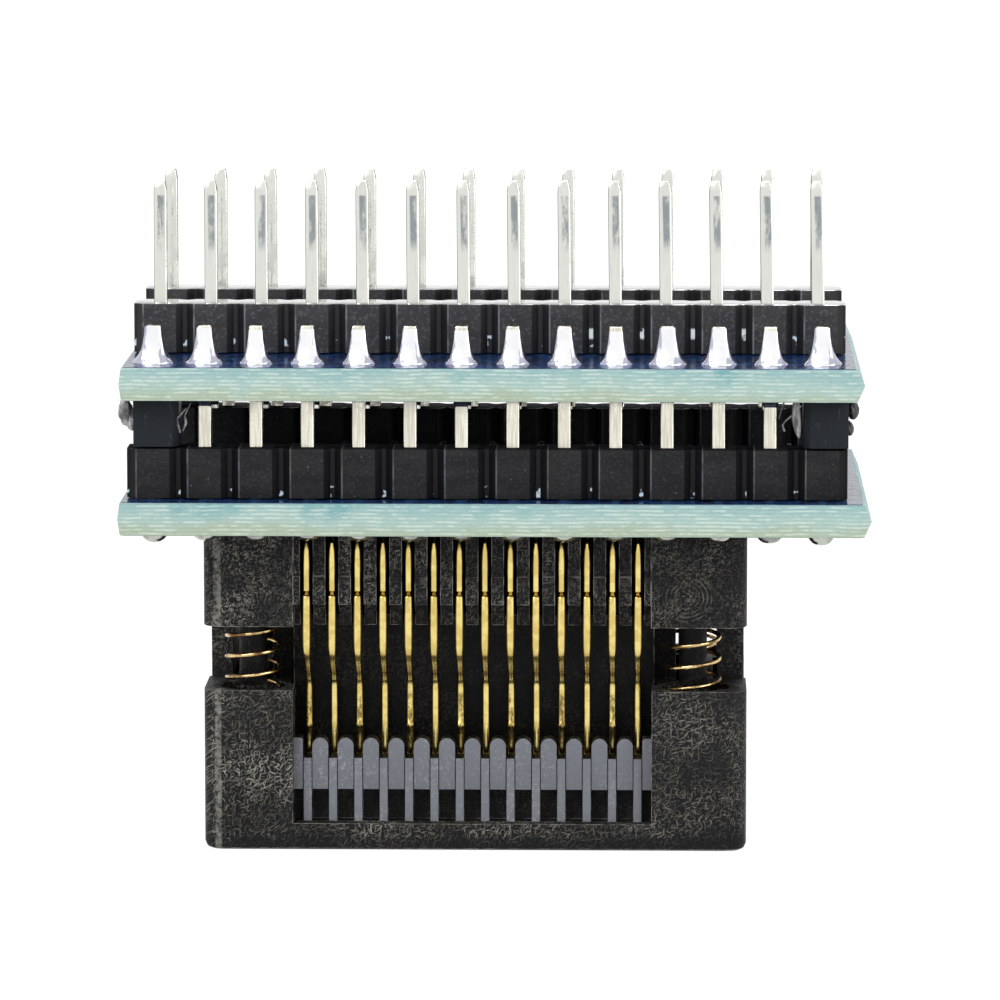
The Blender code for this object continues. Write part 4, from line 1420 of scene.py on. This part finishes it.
@dataclass
class Spacers:
    """The four single cells on the outermost link pins, with the flash of their breaks."""

    width: float = 2.5 * MM
    left: float = 0.93 * MM
    right: float = 1.3 * MM
    chamfer: float = 0.35 * MM
    shred_y: float = -9.75
    lump_y: float = -9.45 * MM

    def make_cell(self, inner: int) -> Piece:
        """Model one spacer about the origin, chamfered on the side that faces the row.

        Args:
            inner: 1 where the row lies to the right, -1 where it lies to the left.

        Returns:
            The spacer.
        """
        low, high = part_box("spacer_front_left")
        half = self.width / 2
        bench = Bench.block("spacer_pattern", (-self.left, -half, low.z),
                            (self.right, half, high.z))
        bench.pick_upright_edges(lambda x: x * inner > 0)
        bench.bevel(self.chamfer, 1)
        bench.pick(Pick.EDGES, lambda e: True)
        bench.bevel(0.03 * MM)
        return bench.done(30.0)

    def make_shred(self, name: str, x: float, steps: Sequence[Triple]) -> Piece:
        """Model one torn shred as a thin tapering strand in the plane of the front.

        Args:
            name: The piece's name.
            x: The place that the steps are measured from, at the upper board's lower face.
            steps: Right, down and half width at each point, in millimetres.

        Returns:
            The shred.
        """
        points = [(x + a * MM, (self.shred_y - 0.05 * i) * MM, LAYOUT.upper_bottom - b * MM)
                  for i, (a, b, _) in enumerate(steps)]
        radii = [radius * MM for _, _, radius in steps]
        bench = Bench.disc(name, points[0], radii[0], 8)
        bench.resize(1.0, 0.5, points[0])
        for i, (last, point) in enumerate(zip(points, points[1:])):
            share = radii[i + 1] / radii[i]
            bench.extrude(*(b - a for a, b in zip(last, point)))
            bench.resize(share, share, point)
        return bench.done(60.0)

    def make_lump(self, name: str, centre: Triple, size: Triple) -> Piece:
        """Model one ragged lump from a sphere that is pushed about.

        Args:
            name: The piece's name.
            centre: The lump's middle.
            size: Its half lengths.

        Returns:
            The lump.
        """
        Bench.clear()
        bpy.ops.mesh.primitive_ico_sphere_add(subdivisions=4, radius=1.0)
        bench = Bench.settle(name)
        clouds = bpy.data.textures.get("lump_clouds")
        if not clouds:
            clouds = bpy.data.textures.new("lump_clouds", "CLOUDS")
            clouds.noise_scale = 0.7
        bench.apply_modifier("DISPLACE", texture=clouds, strength=0.55, mid_level=0.5)
        lump = bench.done(60.0)
        for vertex in lump.data.vertices:
            vertex.co = Vector([c + v * s for c, v, s in zip(centre, vertex.co, size)])
        return lump

    def build_flash(self) -> None:
        """Make the shreds and lumps round the front spacers."""
        start = PIN_COLUMNS[0] - self.left
        end = PIN_COLUMNS[-1] + self.right
        inner = PIN_COLUMNS[-1] - self.left
        first = PIN_COLUMNS[0]
        shreds = [
            (inner, ((-0.86, 0.04, 0.05), (-1.0, 0.3, 0.05), (-1.1, 0.6, 0.045),
                     (-1.2, 1.0, 0.02))),
            (inner, ((-0.15, 0.35, 0.1), (-0.45, 0.74, 0.08), (-0.85, 1.07, 0.06),
                     (-1.02, 1.3, 0.04), (-0.93, 1.6, 0.06))),
            (inner, ((-0.34, 0.05, 0.16), (-0.36, 0.5, 0.2), (-0.34, 1.1, 0.22),
                     (-0.28, 1.6, 0.16), (-0.2, 1.92, 0.05))),
            (first, ((0.3, 1.46, 0.03), (0.6, 1.3, 0.06), (0.9, 1.5, 0.04), (1.2, 1.38, 0.05))),
            (first, ((1.36, 1.78, 0.05), (1.25, 1.45, 0.09), (1.18, 1.1, 0.06),
                     (1.42, 0.85, 0.05), (1.72, 0.5, 0.02))),
            (first, ((1.5, 1.7, 0.04), (1.66, 1.3, 0.06), (1.6, 0.9, 0.04), (1.9, 0.3, 0.02))),
        ]
        pieces = [self.make_shred(f"spacer_shred_{i}", *shred) for i, shred in enumerate(shreds)]
        dress(join_pieces(pieces, "spacer_shreds"), Finishes.FLASH)
        for name, finish, lumps in (
            ("spacer_beads", Finishes.BEAD, ((end + 0.2 * MM, 0.55, (0.3, 0.3, 0.5)),
                                             (end + 0.06 * MM, 1.5, (0.2, 0.3, 0.36)))),
            ("spacer_flash", Finishes.FLASH, ((start - 0.42 * MM, 0.8, (0.36, 0.4, 0.66)),
                                              (start - 0.12 * MM, 1.3, (0.3, 0.4, 0.4)))),
        ):
            pieces = [self.make_lump(f"{name}_{i}",
                                     (x, self.lump_y, LAYOUT.upper_bottom - down * MM),
                                     [s * MM for s in size])
                      for i, (x, down, size) in enumerate(lumps)]
            dress(join_pieces(pieces, name), finish)

    def build(self) -> None:
        """Make the four spacers and the flash."""
        for end, x, inner in (("left", PIN_COLUMNS[0], 1), ("right", PIN_COLUMNS[-1], -1)):
            pattern = self.make_cell(inner)
            for side in Side:
                name = f"spacer_{side.word}_{end}"
                piece = copy_piece(pattern, f"{name}_cell",
                                   (x, side.value * LAYOUT.link_row_y, 0.0))
                dress(piece, Finishes.SPACER, [name])
            discard(pattern)
        self.build_flash()


@dataclass
class Contacts:
    """The spring contacts of both rows, in two forms that take turns."""

    thick: float = 0.35 * MM
    tails: Pair = (7.0 * MM, 4.46 * MM)
    stem_y: float = 7.55 * MM
    lever_y: float = 5.4 * MM
    cap: float = 0.02 * MM

    @staticmethod
    def places(side: Side) -> list[float]:
        """Return the X places of one side's contacts in the order of their numbers."""
        return CONTACT_COLUMNS if side is Side.FRONT else CONTACT_COLUMNS[::-1]

    def stations(self, form: int) -> list[tuple[float, float, float, float]]:
        """List the cross sections from the tail down to the hooked tip.

        Args:
            form: 0 or 1, which picks the tail row and the lever's mark.

        Returns:
            Height, distance from the socket's middle, depth and width share, in order.
        """
        tail = self.tails[form]
        stem = self.stem_y
        lever = self.lever_y
        mark = ((6.11, lever, 0, 0.4, 0.92), (6.02, lever, 0.03, 0.46, 1.0),
                (5.9, lever, 0.03, 0.46, 1.0), (5.81, lever, 0, 0.4, 0.92))
        rows = [
            (18.81, tail, 0, 0.16, 0.45), (18.76, tail, 0, 0.28, 0.75),
            (18.64, tail, 0, 0.4, 1.0), (15.91, tail, 0, 0.4, 1.0),
            (15.61, (tail + stem) / 2, 0, 0.6, 0.4),
            (15.46, stem, 0, 0.4, 0.45), (15.06, stem, 0, 0.4, 0.8),
            (14.46, stem, 0, 0.4, 0.92), (13.06, stem, 0, 0.4, 0.95),
            (13.0, stem, -0.05, 0.3, 0.8), (12.92, stem, -0.1, 0.26, 0.7),
            (12.86, stem, 0.1, 0.4, 0.9), (12.76, stem, 0.15, 0.4, 1.02),
            (11.36, stem, 0.15, 0.4, 1.1), (10.26, stem, 0.13, 0.4, 1.06),
            (10.01, stem, 0.04, 0.42, 1.0), (9.71, stem, -0.25, 0.5, 0.93),
            (9.26, stem, -0.8, 0.56, 0.85), (8.66, stem, -1.6, 0.56, 0.76),
            (8.36, lever, 0.22, 0.5, 0.74), (8.11, lever, 0.04, 0.46, 0.88),
            (7.86, lever, 0, 0.4, 0.92), (7.0, lever, 0, 0.4, 0.92),
            *(() if form else mark),
            (5.01, lever, 0, 0.4, 0.92), (4.88, lever, -0.28, 0.95, 0.92),
            (4.61, lever, -0.3, 1.0, 0.92), (4.49, lever, -0.3, 0.85, 0.86),
        ]
        return [(z * MM, y + out * MM, deep * MM, share) for z, y, out, deep, share in rows]

    def make_blade(self, form: int) -> Piece:
        """Model one contact for the front side, about x = 0.

        Args:
            form: 0 or 1.

        Returns:
            The contact.
        """
        rows = self.stations(form)
        z, y, deep, share = rows[0]
        half = self.thick * share / 2
        bench = Bench.block(f"contact_pattern_{form}", (-half, -y - deep / 2, z - self.cap),
                            (half, -y + deep / 2, z))
        bench.pick_end(-1)
        last = (z - self.cap, y, deep, share)
        for z, y, deep, share in rows[1:]:
            bench.extrude(y=last[1] - y, z=z - last[0])
            bench.resize(share / last[3], deep / last[2], (0, -y, z))
            last = (z, y, deep, share)
        bench.pick(Pick.EDGES, lambda e: along(e, 0) < 0.8
                   and abs(e.verts[0].co.z - e.verts[1].co.z) > 0.02 * MM)
        bench.bevel(0.05 * MM)
        return bench.done(50.0)

    def build(self) -> None:
        """Make both forms once, and copy them along both sides."""
        forms = [self.make_blade(0), self.make_blade(1)]
        for side in Side:
            flip = (-float(side.value), -float(side.value), 1.0)
            for i, x in enumerate(self.places(side)):
                node = f"contact_{side.word}_{i + 1:02d}"
                piece = copy_piece(forms[i % 2], f"{node}_blade", (x, 0.0, 0.0), flip)
                finish = Finishes.GOLD_EVEN if i % 2 else Finishes.GOLD_RUBBED
                piece.data.materials.append(finish.build())
                set_faces(piece, Finishes.GOLD_EDGE, lambda face: abs(face.normal.x) > 0.3)
                dress(piece, finish, [node])
        for form in forms:
            discard(form)


@dataclass
class Mouldings:
    """The socket's two mouldings and the springs between them."""

    edge: float = 0.045 * MM
    tab_round: float = 0.13 * MM
    tab_y: Pair = (5.85 * MM, 7.4 * MM)
    tab_z: Pair = (5.2 * MM, 5.65 * MM)
    comb_half: float = 8.94 * MM
    comb_y: Pair = (7.2 * MM, 7.35 * MM)
    comb_z: Pair = (1.4 * MM, 5.6 * MM)
    spring_x: float = 11.005 * MM
    spring_y: float = 6.2 * MM
    coil_radius: float = 1.33 * MM
    wire_radius: float = 0.11 * MM
    coil_pitch: float = 1.06 * MM
    outer_z: float = 10.6 * MM
    travel: float = 3.0 * MM
    right_end: float = 11.3 * MM
    widen: float = 0.28 * MM

    def soften(self, bench: Bench, finish: Finish) -> Piece:
        """Widen a moulding's right end, soften its edges, and give those the pale edge finish, a
        painted highlight.

        Args:
            bench: The bench with the merged copy.
            finish: The moulding's main finish.

        Returns:
            The moulding.
        """
        bench.pick(Pick.VERTS, lambda v: v.co.x > self.right_end)
        bpy.ops.transform.translate(value=(self.widen, 0.0, 0.0))
        for taken in (finish, Finishes.EDGE):
            bench.obj.data.materials.append(taken.build())
        bench.apply_modifier("BEVEL", width=self.edge, segments=2, limit_method="ANGLE",
                             angle_limit=math.radians(40), material=1)
        return bench.done(30.0)

    def build_base(self) -> None:
        """Soften the base's edges and dress it."""
        base = self.soften(merged_copy("socket_base", "socket_base_moulding"), Finishes.BASE)
        dress(base, Finishes.BASE, ["socket_base"])

    def build_cover(self) -> None:
        """Round the comb's tabs, soften the edges, and give the comb's faces a grey finish, a
        painted sheen on the black plastic.
        """
        bench = merged_copy("socket_cover", "socket_cover_moulding")
        bench.pick(Pick.EDGES, lambda e: along(e, 1) > 0.95 and all(
            between(v.co.z, self.tab_z) and between(abs(v.co.y), self.tab_y) for v in e.verts))
        bench.bevel(self.tab_round, 3)
        cover = self.soften(bench, Finishes.COVER)
        # Painted sheen: the comb's front faces take the grey finish.
        set_faces(cover, Finishes.COMB,
                  lambda face: abs(face.center.x - LAYOUT.socket_x) < self.comb_half
                  and between(abs(face.center.y), self.comb_y)
                  and between(face.center.z, self.comb_z))
        dress(cover, Finishes.COVER, ["socket_cover"], COVER)

    def make_coil(self, node: str, x: float, y: float, outer: float) -> Piece:
        """Model one coil spring.

        Args:
            node: The CAD node that it stands for.
            x: The coil's middle.
            y: The coil's middle.
            outer: The angle at which the wire passes the height outer_z.

        Returns:
            The coil.
        """
        box_low, box_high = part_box(node)
        low = box_low.z + self.wire_radius
        high = box_high.z - self.wire_radius
        turns = (high - low) / self.coil_pitch
        whole = math.ceil(turns)
        start = outer + math.tau * (low - self.outer_z) / self.coil_pitch
        Bench.clear()
        bpy.ops.mesh.primitive_circle_add(vertices=10, radius=self.wire_radius,
                                          fill_type="NOTHING", rotation=(math.pi / 2, 0, 0),
                                          location=(self.coil_radius, 0, 0))
        bench = Bench.settle(f"{node}_coil")
        bench.apply_modifier("SCREW", axis="Z", angle=math.tau * turns / whole,
                             screw_offset=(high - low) / whole, iterations=whole, steps=30,
                             render_steps=30, use_merge_vertices=False)
        bench.obj.rotation_euler = (0, 0, start)
        bench.obj.location = (x, y, low)
        bpy.ops.object.transform_apply()
        bpy.ops.object.mode_set(mode="EDIT")
        bench.pick(Pick.EDGES, lambda e: e.is_boundary)
        bpy.ops.mesh.edge_face_add()
        return bench.done(60.0)

    def build_springs(self) -> None:
        """Make the four springs."""
        for side in Side:
            for end, sign, outer in (("left", -1, math.pi), ("right", 1, 0.0)):
                node = f"spring_{side.word}_{end}"
                coil = self.make_coil(node, LAYOUT.socket_x + sign * self.spring_x,
                                      side.value * self.spring_y, outer)
                dress(coil, Finishes.SPRING, [node])
                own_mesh(coil)

    def build(self) -> None:
        """Make base, cover and springs."""
        self.build_base()
        self.build_cover()
        self.build_springs()


# Picture


@dataclass
class Studio:
    """Camera, lamps, floor and background."""

    azimuth: float = 1.40893
    elevation: float = 7.41572
    distance: float = 333.106 * MM
    lens: float = 236.47
    shift_x: float = 0.4082 * MM
    shift_z: float = -7.88146 * MM
    aim: Triple = (0.0, 0.0, 0.015)
    ambient: float = 0.38
    floor_glow: float = 1.12
    floor_share: float = 0.84
    lamps: Sequence[tuple[str, Triple, float, float]] = (
        ("key_lamp", (-0.25, -0.35, 0.42), 0.35, 2.3),
        ("fill_lamp", (0.4, -0.32, 0.2), 0.4, 1.15),
        ("top_lamp", (0.0, 0.1, 0.55), 0.4, 0.5),
        ("rear_lamp", (0.15, 0.45, 0.42), 0.35, 1.8))

    def camera(self) -> None:
        """Set the camera at the photograph's place."""
        a = math.radians(self.azimuth)
        e = math.radians(self.elevation)
        forward = Vector((-math.sin(a) * math.cos(e), math.cos(a) * math.cos(e), -math.sin(e)))
        right = Vector((math.cos(a), math.sin(a), 0.0))
        up = right.cross(forward)
        origin = Vector((LAYOUT.rows_x, 0.0, LAYOUT.upper_top))
        data = bpy.data.cameras.new("camera")
        data.lens = self.lens
        data.sensor_width = 36.0
        data.clip_start = 0.01
        data.clip_end = 10.0
        target = origin + right * self.shift_x + up * self.shift_z
        place = target - forward * self.distance
        bpy.context.scene.camera = self.hang("camera", data, place, forward)

    @staticmethod
    def hang(name: str, data: bpy.types.ID, place: Sequence[float], way: Vector) -> Piece:
        """Put a camera or a lamp in its place, facing a way.

        Args:
            name: Its name.
            data: Its data.
            place: Where it hangs.
            way: The direction that it faces.

        Returns:
            The object.
        """
        obj = add_object(name, data)
        obj.location = place
        obj.rotation_mode = "QUATERNION"
        obj.rotation_quaternion = way.to_track_quat("-Z", "Y")
        return obj

    def lamp(self, name: str, place: Triple, size: float, power: float) -> None:
        """Hang one soft square lamp that faces the adapter.

        Args:
            name: The lamp's name.
            place: Where it hangs.
            size: Its side.
            power: Its power in watts.
        """
        data = bpy.data.lights.new(name, "AREA")
        data.size = size
        data.energy = power
        self.hang(name, data, place, Vector(self.aim) - Vector(place))

    @staticmethod
    def seen(graph: Graph) -> Socket:
        """Return 1 for camera, glossy and transmission rays, and 0 for others."""
        rays = graph.add("LightPath").outputs
        seen = graph.most(rays["Is Camera Ray"], rays["Is Glossy Ray"])
        return graph.most(seen, rays["Is Transmission Ray"])

    def world(self) -> None:
        """Make the background white to the camera and in reflections, and softer as light."""
        world = bpy.data.worlds.new("studio")
        bpy.context.scene.world = world
        world.use_nodes = True
        graph = Graph(world.node_tree)
        strength = graph.band(self.seen(graph), 0.0, 1.0, self.ambient, 1.0)
        graph.fill(world.node_tree.nodes["Background"],
                   {"Color": (1.0, 1.0, 1.0, 1.0), "Strength": strength})

    def floor(self) -> None:
        """Lay a white floor that keeps the adapter's shadow and is clear from below."""
        Bench.clear()
        bpy.ops.mesh.primitive_plane_add(size=6.0, location=(0, 0, -0.02 * MM))
        floor = Bench.settle("floor").done(None)
        material = bpy.data.materials.new("floor_white")
        s = Surface(material)
        s.fill(s.shader, {"Base Color": (0.9, 0.9, 0.9, 1.0), "Roughness": 0.9,
                          "Specular IOR Level": 0.1})
        glow = s.add("Emission", {"Color": (1.0, 1.0, 1.0, 1.0), "Strength": self.floor_glow})
        below = s.add("NewGeometry").outputs["Backfacing"]
        clear = s.add("BsdfTransparent")
        look = s.shader.outputs[0]
        for share, other in ((s.times(self.seen(s), self.floor_share), glow), (below, clear)):
            look = s.add("MixShader", {0: share, 1: look, 2: other.outputs[0]}).outputs[0]
        s.fill(s.tree.nodes["Material Output"], {"Surface": look})
        floor.data.materials.append(material)

    def build(self) -> None:
        """Set up the picture."""
        bpy.context.scene.view_settings.view_transform = "Standard"
        self.camera()
        self.world()
        self.floor()
        for lamp in self.lamps:
            self.lamp(*lamp)


def build_rows() -> None:
    """Make the long-pin rows and the link rows. The front long pins lean a little."""
    for side in Side:
        front = side is Side.FRONT
        leans = {i: (0.02 - 0.018 * i) * MM for i in range(LAYOUT.pins)} if front else {}
        PinRow(side, "long", LAYOUT.long_row_y, pin_low=21.79 * MM, taper=0.5 * MM,
               strip_finish=Finishes.STRIP, top_finish=Finishes.STRIP_TOP,
               pin_finish=Finishes.LONG_PIN, slot="strip_plastic",
               strip_bottom=LAYOUT.upper_top + CLEARANCE, leans=leans).build()
        PinRow(side, "link", LAYOUT.link_row_y, pin_low=15.86 * MM, taper=0.0,
               strip_finish=Finishes.LINK_STRIP, top_finish=Finishes.LINK_TOP,
               pin_finish=Finishes.LINK_PIN, slot="link_strip_plastic",
               strip_bottom=LAYOUT.lower_top + CLEARANCE).build()


def main() -> None:
    """Build the adapter's looks in order."""
    logging.basicConfig(level=logging.INFO, format="%(name)s: %(message)s")
    Studio().build()
    build_rows()
    Boards().build()
    Spacers().build()
    SolderJoints().build()
    Contacts().build()
    Mouldings().build()


if __name__ == "__main__":
    main()
